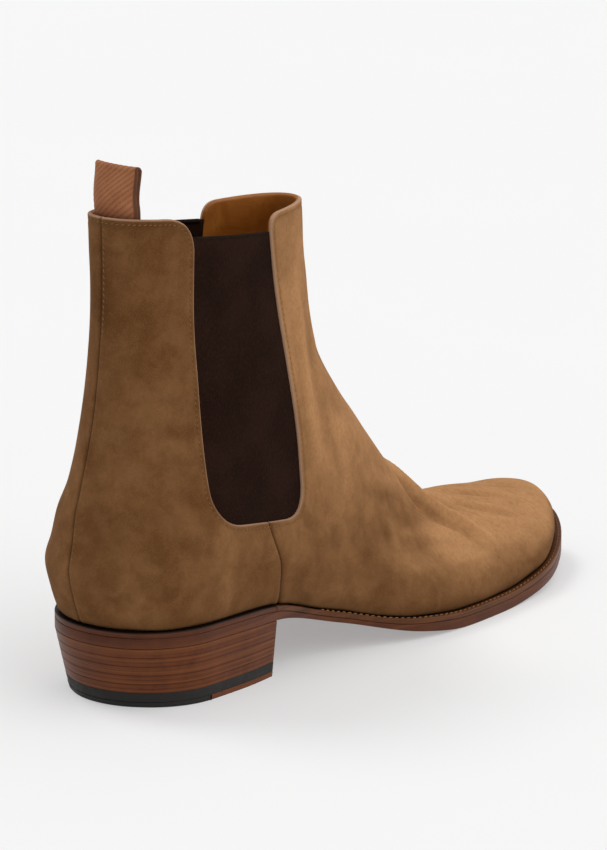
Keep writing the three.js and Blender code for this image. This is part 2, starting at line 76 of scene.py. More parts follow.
def add_camera():
    toward = from_angle(VIEW_AZIMUTH, VIEW_ELEVATION)
    right = Vector((math.cos(VIEW_AZIMUTH), math.sin(VIEW_AZIMUTH), 0))
    up = toward.cross(right)
    data = bpy.data.cameras.new("camera")
    data.lens = LENS
    data.sensor_width = SENSOR
    data.clip_end = 100
    camera = bpy.data.objects.new("camera", data)
    camera.location = MIDDLE + toward * VIEW_DISTANCE
    aim = MIDDLE + right * AIM_RIGHT + up * AIM_UP
    camera.rotation_euler = (aim - camera.location).to_track_quat("-Z", "Y").to_euler()
    bpy.context.scene.collection.objects.link(camera)
    bpy.context.scene.camera = camera


add_camera()

# ---- The CAD's sizes ----

LENGTH, BALL_WIDTH, WAIST_WIDTH, HEEL_WIDTH, TOE_WIDTH = 303, 104, 64, 72, 80
TOE_ROUND, HEEL_HEIGHT, BREAST_HEIGHT, HEEL_LENGTH, TOE_SPRING = 60, 26.8, 24.6, 79, 14.5
COLLAR_BACK, COLLAR_FRONT, COLLAR_LENGTH, COLLAR_WIDTH = 203.5, 190.5, 124, 43
ANKLE_WIDTH, QUARTER_WIDTH, INSTEP_HEIGHT, BALL_DEPTH, TOE_DEPTH = 60, 77, 94.5, 43, 16
WALL, INSOLE, WELT, OUTSOLE, OUTSOLE_WAIST, GAP = 2.4, 2.5, 2.2, 4.5, 2.1, 0.3
EDGE_HEEL, EDGE_WAIST, EDGE_BALL, EDGE_TOE, WELT_INSIDE = 1.6, 1.2, 3.4, 3.6, 7
GORE_TOP, GORE_BOTTOM, GORE_CENTRE, GORE_WIDTH_TOP, GORE_WIDTH_BOTTOM = 188, 69.5, 69.5, 50, 58
GORE_TILT, GORE_ROUND, COLLAR_ROUND_BACK, COLLAR_ROUND_FRONT = 0.14, 15, 17, 8
TOE_IN, COLLAR_DROP, FRONT_DROP, BALL_SKEW = 3, 2.5, -1, 0.035
LOOP_WIDTH, LOOP_HEIGHT, LOOP_TAPE, LOOP_BEND, LOOP_LEAN, LOOP_TUCK = 22, 20, 1.2, 0.7, 6, 20
LIFTS, HEEL_TAPER_BACK, HEEL_TAPER_SIDE, TOP_PIECE = 5, 6.5, 2.6, 6.6
TIP_LENGTH, TIP_DEPTH = 41, 2.4

# The row frame's place of s = 0 and out = 0.
S_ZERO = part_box("outsole")[1].y / MM
OUT_ZERO = (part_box("pull_loop")[0].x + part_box("pull_loop")[1].x) / 2 / MM


def world(p):
    """(s, out, z) in millimetres to the row frame in metres."""
    p = np.asarray(p, float)
    return np.stack([OUT_ZERO - p[..., 1], S_ZERO - p[..., 0], p[..., 2]], -1) * MM


# ---- Curves ----


def through(points):
    """A smooth function through (x, y) points that doesn't overshoot."""
    x, y = np.array(points, float).T
    run = np.diff(x)
    slope = np.diff(y) / run
    a, b = slope[:-1], slope[1:]
    total = np.where(a * b > 0, a + b, 1)
    tangent = np.concatenate([slope[:1], np.where(a * b > 0, 2 * a * b / total, 0), slope[-1:]])

    def value(at):
        i = np.clip(np.searchsorted(x, at, side="right") - 1, 0, len(run) - 1)
        u = np.clip((at - x[i]) / run[i], 0, 1)
        return (
            y[i] * (2 * u**3 - 3 * u**2 + 1)
            + run[i] * tangent[i] * (u**3 - 2 * u**2 + u)
            + y[i + 1] * (3 * u**2 - 2 * u**3)
            + run[i] * tangent[i + 1] * (u**3 - u**2)
        )

    return value


def catmull(get, count, u):
    """A Catmull-Rom value through count evenly spaced values, at each u from 0 to 1."""
    at = np.clip(u, 0, 1) * (count - 1)
    i = np.minimum(at.astype(int), count - 2)
    f = at - i
    b, c = get(i), get(i + 1)
    a = np.where(i > 0, get(np.maximum(i - 1, 0)), 2 * b - c)
    d = np.where(i < count - 2, get(np.minimum(i + 2, count - 1)), 2 * c - b)
    return 0.5 * (
        2 * b + (c - a) * f + (2 * a - 5 * b + 4 * c - d) * f**2 + (3 * b - a - 3 * c + d) * f**3
    )


def rounded(x, fullness):
    """0 at 0 and 1 from 1 on, along a superellipse."""
    inner = 1 - (1 - np.clip(x, 0, 1)) ** fullness
    return np.where(x >= 1, 1, np.maximum(inner, 0) ** (1 / fullness))


def smooth(x, low, high):
    """0 at low and 1 at high, with soft ends. low may be the larger."""
    u = np.clip((x - low) / (high - low), 0, 1)
    return u * u * (3 - 2 * u)


def bell(x, middle, width):
    """1 at the middle, falling off to both sides."""
    return np.exp(-(((x - middle) / width) ** 2))


def bisect(under, low, high, steps=24):
    """Where under(x) stops being true between low and high, for many places at once."""
    for _ in range(steps):
        middle = (low + high) / 2
        below = under(middle)
        low, high = np.where(below, middle, low), np.where(below, high, middle)
    return low


def unit(vectors):
    return vectors / np.maximum(np.linalg.norm(vectors, axis=-1, keepdims=True), 1e-9)


def run_along(path):
    """The length of a path up to each of its points."""
    return np.concatenate([[0], np.cumsum(np.linalg.norm(np.diff(path, axis=0), axis=1))])


def full_turn(count):
    return np.arange(count) * 2 * np.pi / count


# ---- The last ----

sole_height = through([
    (0, HEEL_HEIGHT),
    (0.6 * HEEL_LENGTH, HEEL_HEIGHT + 0.36 * (BREAST_HEIGHT - HEEL_HEIGHT)),
    (HEEL_LENGTH, BREAST_HEIGHT),
    (0.4 * LENGTH, 0.56 * BREAST_HEIGHT),
    (0.53 * LENGTH, 0.13 * BREAST_HEIGHT),
    (0.62 * LENGTH, 0),
    (0.71 * LENGTH, 0),
    (0.83 * LENGTH, 0.24 * TOE_SPRING),
    (0.93 * LENGTH, 0.65 * TOE_SPRING),
    (LENGTH, TOE_SPRING),
])
outsole_depth = through([
    (0, OUTSOLE),
    (0.8 * HEEL_LENGTH, OUTSOLE),
    (0.36 * LENGTH, OUTSOLE_WAIST),
    (0.44 * LENGTH, OUTSOLE_WAIST),
    (0.6 * LENGTH, OUTSOLE),
    (LENGTH, OUTSOLE),
])


def outsole_top(s):
    return sole_height(s) + outsole_depth(s)


def feather(s):
    """Height of the featherline, where the upper meets the welt."""
    return outsole_top(s) + WELT + 2 * GAP


FEATHER_BACK, FEATHER_TOE = float(feather(0)), float(feather(LENGTH))
HEEL_END, TOE_END = EDGE_HEEL, LENGTH - EDGE_TOE
HEEL, WAIST = HEEL_WIDTH / 2 - EDGE_HEEL, WAIST_WIDTH / 2 - EDGE_WAIST
BALL, TOE = BALL_WIDTH / 2 - EDGE_BALL, TOE_WIDTH / 2 - EDGE_TOE
QUARTER, ANKLE, COLLAR = QUARTER_WIDTH / 2, ANKLE_WIDTH / 2, COLLAR_WIDTH / 2
SHIN = 0.35 * ANKLE + 0.65 * COLLAR
COLLAR_FRONT_S = 10 + COLLAR_LENGTH

# One row a section, from the featherline up: back s and z, front s and z, six half widths from back to
# front, lengths of the rounded back and front, their fullness, share of the dip kept, and swing.
SECTIONS = [
    (HEEL_END, FEATHER_BACK, TOE_END, FEATHER_TOE,
     HEEL, HEEL + 0.4, WAIST, BALL - 2.6, BALL - 2.4, TOE, 35, TOE_ROUND, 2.1, 2, 1, 3),
    (HEEL_END - 4, FEATHER_BACK + 11, TOE_END + 0.6, FEATHER_TOE + 0.35 * TOE_DEPTH,
     QUARTER - 2, QUARTER - 0.5, WAIST + 6, BALL - 0.6, BALL - 1.5, TOE - 1,
     38, TOE_ROUND + 2, 2.1, 2, 1, 2.5),
    (HEEL_END - 6.8, FEATHER_BACK + 23, TOE_END - 6, FEATHER_TOE + 0.65 * TOE_DEPTH,
     QUARTER - 0.5, QUARTER + 1, WAIST + 8, BALL - 4.5, BALL - 7, TOE - 7,
     42, TOE_ROUND + 4, 2.1, 2, 0.85, 2.5),
    (HEEL_END - 5, FEATHER_BACK + 34, TOE_END - 32, float(feather(0.88 * LENGTH)) + 1.35 * TOE_DEPTH,
     QUARTER - 1, QUARTER, QUARTER, BALL - 11, BALL - 14, BALL - 16, 48, 76, 2.1, 2, 0.6, 1.5),
    (HEEL_END - 3, FEATHER_BACK + 46, 0.77 * LENGTH, float(feather(0.77 * LENGTH)) + 0.72 * BALL_DEPTH,
     QUARTER - 2, QUARTER - 1, QUARTER - 1, BALL - 14, BALL - 18, BALL - 20, 54, 82, 2.1, 2, 0.35, 1),
    (HEEL_END + 0.5, FEATHER_BACK + 59, 0.655 * LENGTH,
     float(feather(0.655 * LENGTH)) + 1.14 * BALL_DEPTH,
     QUARTER - 3, QUARTER - 2.5, QUARTER - 3, QUARTER - 4, QUARTER - 6, QUARTER - 7,
     70, 80, 2.1, 2, 0.12, -0.5),
    (HEEL_END + 4.5, FEATHER_BACK + 75, 0.535 * LENGTH, INSTEP_HEIGHT,
     *[ANKLE + 3.5] * 6, 80, 72, 2.15, 2, 0, -0.8),
    (HEEL_END + 8, FEATHER_BACK + 97, 0.457 * LENGTH, 1.35 * INSTEP_HEIGHT,
     *[ANKLE] * 6, 80, 64, 2.2, 2.1, 0, -0.3),
    (HEEL_END + 9.5, FEATHER_BACK + 126, COLLAR_FRONT_S, COLLAR_FRONT - 27,
     SHIN, SHIN, SHIN - 0.4, SHIN - 1.2, SHIN - 1.8, SHIN - 2, 72, 60, 2.3, 2.2, 0, 0.9),
    (HEEL_END + 8.5, COLLAR_BACK + 12, COLLAR_FRONT_S, COLLAR_FRONT + 14,
     COLLAR, COLLAR, COLLAR - 1, COLLAR - 3, COLLAR - 4.2, COLLAR - 4.5, 60, 60, 2.4, 2.2, 0, 2.5),
]
TRACKS = np.array(SECTIONS, float).T


def last(v, w):
    """The last's surface: v runs round from the back over the lateral side and the toe, w runs up."""
    v, w = np.broadcast_arrays(np.asarray(v, float), np.asarray(w, float))
    shape = v.shape
    v, w = v.ravel(), w.ravel()
    track = catmull(lambda i: TRACKS[:, i], TRACKS.shape[1], w)
    back_s, back_z, front_s, front_z = track[:4]
    round_back, round_front, full_back, full_front, sag, swing = track[10:]
    side = np.where(np.sin(v) >= 0, 1, -1)
    t = (1 - np.cos(v)) / 2
    length = front_s - back_s
    low = np.maximum(0, 1 - 2 * w)
    arch = np.sin(np.pi * t) ** 2
    station = t + side * BALL_SKEW * low * arch
    column = np.arange(len(v))
    core = catmull(lambda i: track[4 + i, column], 6, station)
    width = (
        core
        * rounded(t * length / round_back, full_back)
        * rounded((1 - t) * length / round_front, full_front)
    )
    chord = FEATHER_BACK + (FEATHER_TOE - FEATHER_BACK) * t
    dip = feather(HEEL_END + t * (TOE_END - HEEL_END)) - chord
    s = back_s + t * length
    out = swing * arch + side * width - TOE_IN * low * t**4
    z = back_z + (front_z - back_z) * t + sag * dip
    return np.stack([s, out, z], -1).reshape(*shape, 3)


def outward(v, w):
    """The last's outward unit normal."""
    step = 0.003
    across = last(v + step, w) - last(v - step, w)
    up = last(v, np.minimum(w + step, 1)) - last(v, np.maximum(w - step, 0))
    return unit(np.cross(up, across))


def inside_last(v, w, depth):
    return last(v, w) - outward(v, w) * depth


# ---- The cuts seen from the side ----


def gore_edge(z, side):
    """s of the gore's back (side -1) or front (side 1) edge, before its tilt."""
    slope = (GORE_WIDTH_TOP - GORE_WIDTH_BOTTOM) / 2 / (GORE_TOP - GORE_BOTTOM)
    return GORE_CENTRE + side * (GORE_WIDTH_BOTTOM / 2 + slope * (z - GORE_BOTTOM))


def tilted(z, s):
    return z - GORE_TILT * (s - GORE_CENTRE)


def beside(x, y, a, b):
    """Squared distance from points to the line from a to b, and their share of the way along it."""
    run = np.array(b, float) - a
    share = np.clip(((x - a[0]) * run[0] + (y - a[1]) * run[1]) / (run @ run), 0, 1)
    return (x - a[0] - run[0] * share) ** 2 + (y - a[1] - run[1] * share) ** 2, share


def bend(a, b, c, steps=20):
    """Points on a quadratic curve, after its first one."""
    u = (np.arange(steps) + 1)[:, None] / steps
    a, b, c = np.array(a, float), np.array(b, float), np.array(c, float)
    return ((1 - u) ** 2 * a + 2 * u * (1 - u) * b + u**2 * c).tolist()


def gore_shape(top):
    """The gore opening's outline, open at its top."""
    bottom = GORE_BOTTOM
    up = bottom + GORE_ROUND
    back, front = gore_edge(bottom, -1), gore_edge(bottom, 1)
    back_up, front_up = gore_edge(up, -1), gore_edge(up, 1)
    back_top, front_top = gore_edge(top, -1), gore_edge(top, 1)
    a = (back + GORE_ROUND, tilted(bottom, back + GORE_ROUND))
    b = (front - GORE_ROUND, tilted(bottom, front - GORE_ROUND))
    points = [(back_top, tilted(top, back_top)), (back_up, tilted(up, back_up))]
    points += bend(points[-1], (back, tilted(bottom, back)), a)
    points += [b] + bend(b, (front, tilted(bottom, front)), (front_up, tilted(up, front_up)))
    points.append((front_top, tilted(top, front_top)))
    return np.array(points)


def collar_shape():
    """The outline of what the collar's edge cuts away, from the back to the front."""
    back_z, front_z = COLLAR_BACK - COLLAR_DROP, COLLAR_FRONT - FRONT_DROP
    back_under, front_under = back_z - COLLAR_ROUND_BACK, front_z - COLLAR_ROUND_FRONT
    back, front = gore_edge(back_z, -1), gore_edge(front_z, 1)
    over = COLLAR_BACK + 60
    a = (back - COLLAR_ROUND_BACK, back_z + 0.6)
    b = (gore_edge(front_under, 1), front_under)
    points = [(-30, over), (-30, COLLAR_BACK + 0.5), (HEEL_END + 9, COLLAR_BACK), a]
    points += bend(a, (back, back_z), (gore_edge(back_under, -1), back_under))
    points += [(GORE_CENTRE, back_under), (GORE_CENTRE, front_under), b]
    points += bend(b, (front, front_z), (front + COLLAR_ROUND_FRONT, front_z))
    points += [(COLLAR_FRONT_S, COLLAR_FRONT), (LENGTH, COLLAR_FRONT), (LENGTH, over)]
    return np.array(points)


def signed_distance(x, y, polygon):
    """Distance to a polygon's edge, negative inside it."""
    nearest = np.full(x.shape, np.inf)
    inside = np.zeros(x.shape, bool)
    for (ax, ay), (bx, by) in zip(polygon, np.roll(polygon, -1, 0)):
        if ax == bx and ay == by:
            continue
        nearest = np.minimum(nearest, beside(x, y, (ax, ay), (bx, by))[0])
        if ay != by:
            inside ^= ((ay > y) != (by > y)) & (x - ax < (bx - ax) * (y - ay) / (by - ay))
    return np.where(inside, -1, 1) * np.sqrt(nearest)


GORE_CUT, COLLAR_CUT = gore_shape(COLLAR_FRONT), collar_shape()
seam_s = through([(20, 85), (29.4, 83), (42.7, 78.2), (54.6, 76.2), (66.9, 72.3), (80, 70)])


def cut_field(p):
    s, z = p[..., 0], p[..., 2]
    return np.minimum(signed_distance(s, z, GORE_CUT), signed_distance(s, z, COLLAR_CUT))


def seam_field(p):
    return p[..., 0] - seam_s(p[..., 2])


back_seam_out = through([(30, -5.2), (75, -4.8), (130, -2), (180, 0.1), (205, 0.5)])


def back_field(p):
    """Distance to the lateral side of the back seam, along the back only."""
    s, out, z = p[..., 0], p[..., 1], p[..., 2]
    side = np.where(out >= 0, 1.0, -1.0)
    return np.where(s < 45, out - back_seam_out(z), 100 * side)


FIELDS = {"cut": cut_field, "seam": seam_field, "back": back_field}


# ---- Skins: a fine mesh over the last that is cut along curves ----

SNAP = 0.16  # a vertex this near a curve slides onto it


class Skin:
    """A grid on the last. Every vertex keeps its v and w, and its distance to each curve."""

    def __init__(self, columns, rows):
        v = np.linspace(0, 2 * np.pi, columns + 1)
        w = np.linspace(0, 1, rows + 1)
        w_grid, v_grid = np.meshgrid(w, v, indexing="ij")
        self.v, self.w = v_grid.ravel(), w_grid.ravel()
        self.faces = grid_faces(rows + 1, columns + 1).tolist()
        p = last(self.v, self.w)
        self.values = {name: field(p) for name, field in FIELDS.items()}

    def slide(self, name, level, ids):
        """Moves vertices along the surface onto a curve."""
        field, step = FIELDS[name], 1e-3
        for _ in range(2):
            v, w = self.v[ids], self.w[ids]
            here = last(v, w)
            by_v, by_w = last(v + step, w), last(v, w + step)
            off = field(here) - level
            slope_v, slope_w = (field(by_v) - level - off) / step, (field(by_w) - level - off) / step
            size_v = ((by_v - here) ** 2).sum(-1) / step**2 + 1e-9
            size_w = ((by_w - here) ** 2).sum(-1) / step**2 + 1e-9
            total = slope_v**2 / size_v + slope_w**2 / size_w + 1e-9
            move = np.clip(off / total, -1e3, 1e3)
            # On the closing line at the back, v stays as it is.
            edge = (v < 1e-9) | (v > 2 * np.pi - 1e-9)
            straight = w - off / np.where(np.abs(slope_w) < 1e-6, 1e9, slope_w)
            self.v[ids] = np.where(edge, v, v - move * slope_v / size_v)
            self.w[ids] = np.clip(np.where(edge, straight, w - move * slope_w / size_w), 0, 1)
        p = last(self.v[ids], self.w[ids])
        for key, each in FIELDS.items():
            self.values[key][ids] = each(p)

    def split(self, name, level):
        """Cuts the faces along a curve, and returns the curve's (a, b) vertex pairs."""
        values = self.values[name] - level
        near = np.flatnonzero(np.abs(values) < SNAP)
        if len(near):
            self.slide(name, level, near)
        values = self.values[name] - level
        values[near] = 0
        sign = np.sign(values).astype(int).tolist()
        cuts, ends, kept, pairs = {}, [], [], []
        count = len(self.v)
        for face in self.faces:
            signs = [sign[i] for i in face]
            if min(signs) >= 0 or max(signs) <= 0:
                kept.append(face)
                zero = [i for i, g in zip(face, signs) if g == 0]
                if len(zero) == 2 and max(signs) > 0:
                    pairs.append(tuple(zero))
                continue
            over, under = [], []
            for i, j, g, h in zip(face, face[1:] + face[:1], signs, signs[1:] + signs[:1]):
                if g >= 0:
                    over.append(i)
                if g <= 0:
                    under.append(i)
                if g * h < 0:
                    key = (min(i, j), max(i, j))
                    if key not in cuts:
                        cuts[key] = count + len(ends)
                        ends.append(key)
                    over.append(cuts[key])
                    under.append(cuts[key])
            kept += [over, under]
            shared = [i for i in over if i in under]
            if len(shared) == 2:
                pairs.append(tuple(shared))
        if ends:
            a, b = np.array(ends).T
            share = values[a] / (values[a] - values[b])
            self.v = np.append(self.v, self.v[a] + share * (self.v[b] - self.v[a]))
            self.w = np.append(self.w, self.w[a] + share * (self.w[b] - self.w[a]))
            fresh = np.arange(count, len(self.v))
            for key in FIELDS:
                self.values[key] = np.append(self.values[key], np.zeros(len(fresh)))
            self.slide(name, level, fresh)
        self.faces = kept
        return pairs

    def keep(self, test):
        """Keeps the faces whose middle passes test(mean of each field's values)."""
        sizes = np.array([len(f) for f in self.faces])
        flat = np.concatenate([np.array(f) for f in self.faces])
        owner = np.repeat(np.arange(len(sizes)), sizes)
        means = {k: np.bincount(owner, self.values[k][flat], len(sizes)) / sizes for k in FIELDS}
        return [f for f, good in zip(self.faces, test(means)) if good]

    def border(self, faces):
        """The directed edges that only one face uses."""
        edges = {(i, j) for f in faces for i, j in zip(f, f[1:] + f[:1])}
        return [(i, j) for i, j in edges if (j, i) not in edges]


def chains(pairs):
    """Vertex pairs joined into paths."""
    near = {}
    for a, b in pairs:
        if a != b:
            near.setdefault(a, set()).add(b)
            near.setdefault(b, set()).add(a)
    paths, seen = [], set()
    for start in sorted(near, key=lambda k: (len(near[k]) != 1, k)):
        if start in seen:
            continue
        path, at = [start], start
        seen.add(start)
        while True:
            ahead = sorted(n for n in near[at] if n not in seen)
            if not ahead:
                break
            at = ahead[0]
            seen.add(at)
            path.append(at)
        paths.append(path)
    return [p for p in paths if len(p) > 3]


# ---- Meshes ----


def build(name, points, faces, material, replaces=(), attributes=None, mend=True):
    """A piece from (s, out, z) points. It rides on the boot's one body."""
    mesh = bpy.data.meshes.new(name)
    mesh.from_pydata(world(points).tolist(), [], [list(f) for f in faces])
    for key, values in (attributes or {}).items():
        layer = mesh.attributes.new(key, "FLOAT", "POINT")
        layer.data.foreach_set("value", np.asarray(values, np.float32))
    if mend:
        work = bmesh.new()
        work.from_mesh(mesh)
        bmesh.ops.remove_doubles(work, verts=work.verts, dist=2e-6)
        loose = [v for v in work.verts if not v.link_faces]
        bmesh.ops.delete(work, geom=loose, context="VERTS")
        bmesh.ops.recalc_face_normals(work, faces=work.faces)
        work.to_mesh(mesh)
        work.free()
    mesh.polygons.foreach_set("use_smooth", [True] * len(mesh.polygons))
    mesh.materials.append(material)
    piece = bpy.data.objects.new(name, mesh)
    bpy.context.scene.collection.objects.link(piece)
    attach(piece, "root")
    if replaces:
        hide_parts(*replaces)


def used_only(points, faces):
    """The points that the faces use, and the faces renumbered."""
    used = sorted({i for f in faces for i in f})
    index = {i: k for k, i in enumerate(used)}
    return points[used], [[index[i] for i in f] for f in faces]


def grid_faces(rows, columns):
    """Faces of a grid of rows by columns points."""
    i = (np.arange(rows - 1)[:, None] * columns + np.arange(columns - 1)).ravel()
    return np.stack([i, i + 1, i + columns + 1, i + columns], -1)


def thick_sheet(rows, columns):
    """Faces of a closed sheet: rows by columns points on its face, and as many on its back."""
    quads, size, corner = grid_faces(rows, columns), rows * columns, (rows - 1) * columns
    rim = list(range(columns)) + list(range(2 * columns - 1, size, columns))
    rim += list(range(size - 2, corner - 1, -1)) + list(range(corner - columns, 0, -columns))
    faces = quads.tolist() + (quads[:, ::-1] + size).tolist()
    return faces + [(a, b, b + size, a + size) for a, b in zip(rim, rim[1:] + rim[:1])]


def band(a, b, count, closed=True):
    """Faces between two rows of count points, the first starting at a and the second at b."""
    last_one = count if closed else count - 1
    return [(a + i, a + (i + 1) % count, b + (i + 1) % count, b + i) for i in range(last_one)]


def tube_faces(rows, count):
    """Faces of a tube whose rows of count points run along it, closed over at both ends."""
    faces = []
    for k in range(rows):
        faces += band(k * count, (k + 1) % rows * count, count, closed=False)
    return faces + [tuple(range(end, rows * count, count)) for end in (0, count - 1)]


# ---- Materials ----


class Shader:
    """A material that is put together from noises, spreads and mixes."""

    def __init__(self, name, **sockets):
        self.material = bpy.data.materials.new(name)
        self.material.use_nodes = True
        self.tree = self.material.node_tree
        self.surface = self.tree.nodes["Principled BSDF"]
        for key, value in sockets.items():
            self.surface.inputs[key.replace("_", " ")].default_value = value
        self.place = self.add("ShaderNodeTexCoord").outputs["Object"]

    def add(self, kind, inputs=None, **settings):
        node = self.tree.nodes.new(kind)
        for key, value in settings.items():
            setattr(node, key, value)
        for key, value in (inputs or {}).items():
            if isinstance(value, bpy.types.NodeSocket):
                self.tree.links.new(value, node.inputs[key])
            else:
                node.inputs[key].default_value = value
        return node

    def noise(self, scale, detail, rough, warp=0.0, stretch=None):
        """A noise of so many cells a metre. stretch gives them for each axis, with scale 1."""
        place = self.place
        if stretch:
            place = self.add("ShaderNodeMapping", {"Vector": place, "Scale": stretch}).outputs[0]
        inputs = {"Vector": place, "Scale": scale, "Detail": detail, "Roughness": rough, "Distortion": warp}
        return self.add("ShaderNodeTexNoise", inputs).outputs["Fac"]

    def spread(self, value, low, high, to_low=0.0, to_high=1.0):
        inputs = {"Value": value, "From Min": low, "From Max": high, "To Min": to_low, "To Max": to_high}
        return self.add("ShaderNodeMapRange", inputs, interpolation_type="SMOOTHSTEP").outputs[0]

    def plus(self, a, b):
        return self.add("ShaderNodeMath", {0: a, 1: b}, operation="ADD").outputs[0]

    def mix(self, share, a, b):
        """Goes from a to b. Each is a socket or a colour as a hex code."""
        a, b = [srgb(c) if isinstance(c, str) else c for c in (a, b)]
        return self.add("ShaderNodeMix", {0: share, 6: a, 7: b}, data_type="RGBA").outputs[2]

    def tint(self, tone, value, low, high, most, code):
        """Adds a colour, from none where value is low to the most where it is high."""
        return self.mix(self.spread(value, low, high, 0, most), tone, code)

    def read(self, attribute):
        return self.add("ShaderNodeAttribute", attribute_name=attribute).outputs["Fac"]

    def bump(self, height, distance, strength=1.0):
        inputs = {"Height": height, "Distance": distance, "Strength": strength}
        if self.surface.inputs["Normal"].is_linked:
            inputs["Normal"] = self.surface.inputs["Normal"].links[0].from_socket
        self.tree.links.new(self.add("ShaderNodeBump", inputs).outputs[0], self.surface.inputs["Normal"])

    def wire(self, key, socket):
        self.tree.links.new(socket, self.surface.inputs[key])


def srgb(code):
    """A hex colour as the linear RGBA that a socket takes."""
    parts = [int(code[i:i + 2], 16) / 255 for i in (0, 2, 4)]
    return (*[c / 12.92 if c <= 0.04045 else ((c + 0.055) / 1.055) ** 2.4 for c in parts], 1)


def suede_material():
    look = Shader("suede", Roughness=0.95, Sheen_Weight=0.12, Sheen_Roughness=0.5,
                  Sheen_Tint=srgb("d9a878"), Specular_IOR_Level=0.1)
    clouds = look.noise(34, 3, 0.55, 0.25)
    patches = look.noise(120, 4, 0.6, 0.3)
    nap = look.noise(620, 4, 0.7)
    streaks = look.noise(1, 3, 0.6, stretch=(240, 240, 70))
    fibre = look.noise(3200, 3, 0.75)
    # pale is the suede's tone together with painted light and shade
    pale = look.plus(look.read("pale"), look.spread(clouds, 0.3, 0.7, -0.13, 0.13))
    pale = look.plus(pale, look.spread(patches, 0.35, 0.65, -0.06, 0.07))
    tone = look.mix(look.spread(pale, -0.3, 1.15), "522e0f", "b58559")
    tone = look.tint(tone, streaks, 0.5, 0.72, 0.2, "6f4b29")
    tone = look.tint(tone, nap, 0.35, 0.75, 0.28, "5c3e20")
    tone = look.tint(tone, fibre, 0.45, 0.75, 0.25, "b88c5e")
    tone = look.tint(tone, look.read("low"), 9, 0, 0.4, "503216")
    tone = look.tint(tone, look.read("edge"), 0.9, 0.1, 0.7, "b8937a")
    # dark: the seam and stitch lines, and painted shade along the foot of the upper
    tone = look.mix(look.read("dark"), tone, "2f1e0e")
    look.wire("Base Color", tone)
    look.bump(nap, 0.0005, 0.28)
    look.bump(fibre, 0.00016, 0.5)
    look.bump(patches, 0.0014, 0.08)
    return look.material


def lining_material():
    look = Shader("lining_leather", Roughness=0.5, Specular_IOR_Level=0.4)
    clouds = look.noise(60, 3, 0.6, 0.5)
    pores = look.noise(1900, 3, 0.6)
    tone = look.mix(look.spread(clouds, 0.3, 0.7), "955414", "ad6a24")
    look.wire("Base Color", look.tint(tone, pores, 0.5, 0.8, 0.4, "8f5a20"))
    look.wire("Roughness", look.spread(clouds, 0.2, 0.8, 0.42, 0.62))
    look.bump(pores, 0.00025, 0.5)
    look.bump(clouds, 0.0024, 0.4)
    return look.material


def elastic_material():
    look = Shader("elastic", Roughness=0.9, Sheen_Weight=0.01, Sheen_Roughness=0.5,
                  Sheen_Tint=srgb("6a4a3c"), Specular_IOR_Level=0.05)
    yarn = look.noise(1, 2, 0.6, stretch=(2600, 2600, 700))
    weft = look.noise(1, 2, 0.5, stretch=(500, 500, 2400))
    clouds = look.noise(45, 2, 0.5)
    tone = look.mix(look.spread(clouds, 0.3, 0.7), "1c0e08", "26150e")
    tone = look.tint(tone, yarn, 0.4, 0.75, 0.5, "35221a")
    look.wire("Base Color", look.tint(tone, weft, 0.5, 0.8, 0.3, "160c07"))
    look.bump(yarn, 0.0002, 0.6)
    look.bump(weft, 0.0002, 0.4)
    return look.material


def binding_material():
    look = Shader("elastic_binding", Roughness=0.85, Specular_IOR_Level=0.05)
    yarn = look.noise(1, 2, 0.6, stretch=(2600, 2600, 900))
    look.wire("Base Color", look.mix(look.spread(yarn, 0.35, 0.75), "1a110c", "2c1f18"))
    look.bump(yarn, 0.0002, 0.6)
    return look.material


def tape_material():
    look = Shader("tape", Roughness=0.82, Sheen_Weight=0.15, Sheen_Roughness=0.5,
                  Sheen_Tint=srgb("c99a7a"), Specular_IOR_Level=0.25)
    clouds = look.noise(90, 2, 0.5)
    yarn = look.noise(2300, 3, 0.65)
    tone = look.mix(look.spread(clouds, 0.3, 0.7), "955a37", "a86c46")
    tone = look.tint(tone, look.read("twill"), 0.95, 0.05, 0.6, "5c3420")
    tone = look.tint(tone, yarn, 0.4, 0.75, 0.35, "b98664")
    # dark: darker edges, and painted shade at the loop's foot
    look.wire("Base Color", look.mix(look.read("dark"), tone, "3a2015"))
    look.bump(yarn, 0.0002, 0.6)
    return look.material


def thread_material(name, dark, light):
    look = Shader(name, Roughness=0.8, Specular_IOR_Level=0.15)
    ply = look.noise(3000, 2, 0.5)
    look.wire("Base Color", look.mix(look.spread(ply, 0.35, 0.7), dark, light))
    look.bump(ply, 0.0001, 0.6)
    return look.material


def leather_material(name, dark, light, line, layers):
    """Stained and waxed sole leather, with its layers as so many fine level lines a metre."""
    look = Shader(name, Coat_Weight=0.1, Coat_Roughness=0.3, Specular_IOR_Level=0.12)
    clouds = look.noise(70, 3, 0.6, 0.7)
    level = look.noise(1, 2, 0.5, stretch=(3, 3, layers))
    fine = look.noise(1, 2, 0.5, stretch=(12, 12, 2.6 * layers))
    grain = look.noise(1500, 3, 0.6)
    tone = look.mix(look.spread(clouds, 0.1, 0.75), dark, light)
    tone = look.tint(tone, level, 0.4, 0.7, 0.5, line)
    tone = look.tint(tone, fine, 0.45, 0.75, 0.35, dark)
    tone = look.tint(tone, grain, 0.5, 0.8, 0.25, line)
    tone = look.tint(tone, look.read("layer"), 0, 1, 0.45, "36190c")
    # dark is painted shade: on the welt beside the upper, and along the rand's top.
    look.wire("Base Color", look.mix(look.read("dark"), tone, "1c100a"))
    look.wire("Roughness", look.spread(clouds, 0.2, 0.8, 0.36, 0.5))
    look.bump(level, 0.0003, 0.2)
    look.bump(fine, 0.00012, 0.3)
    look.bump(grain, 0.00012, 0.4)
    return look.material


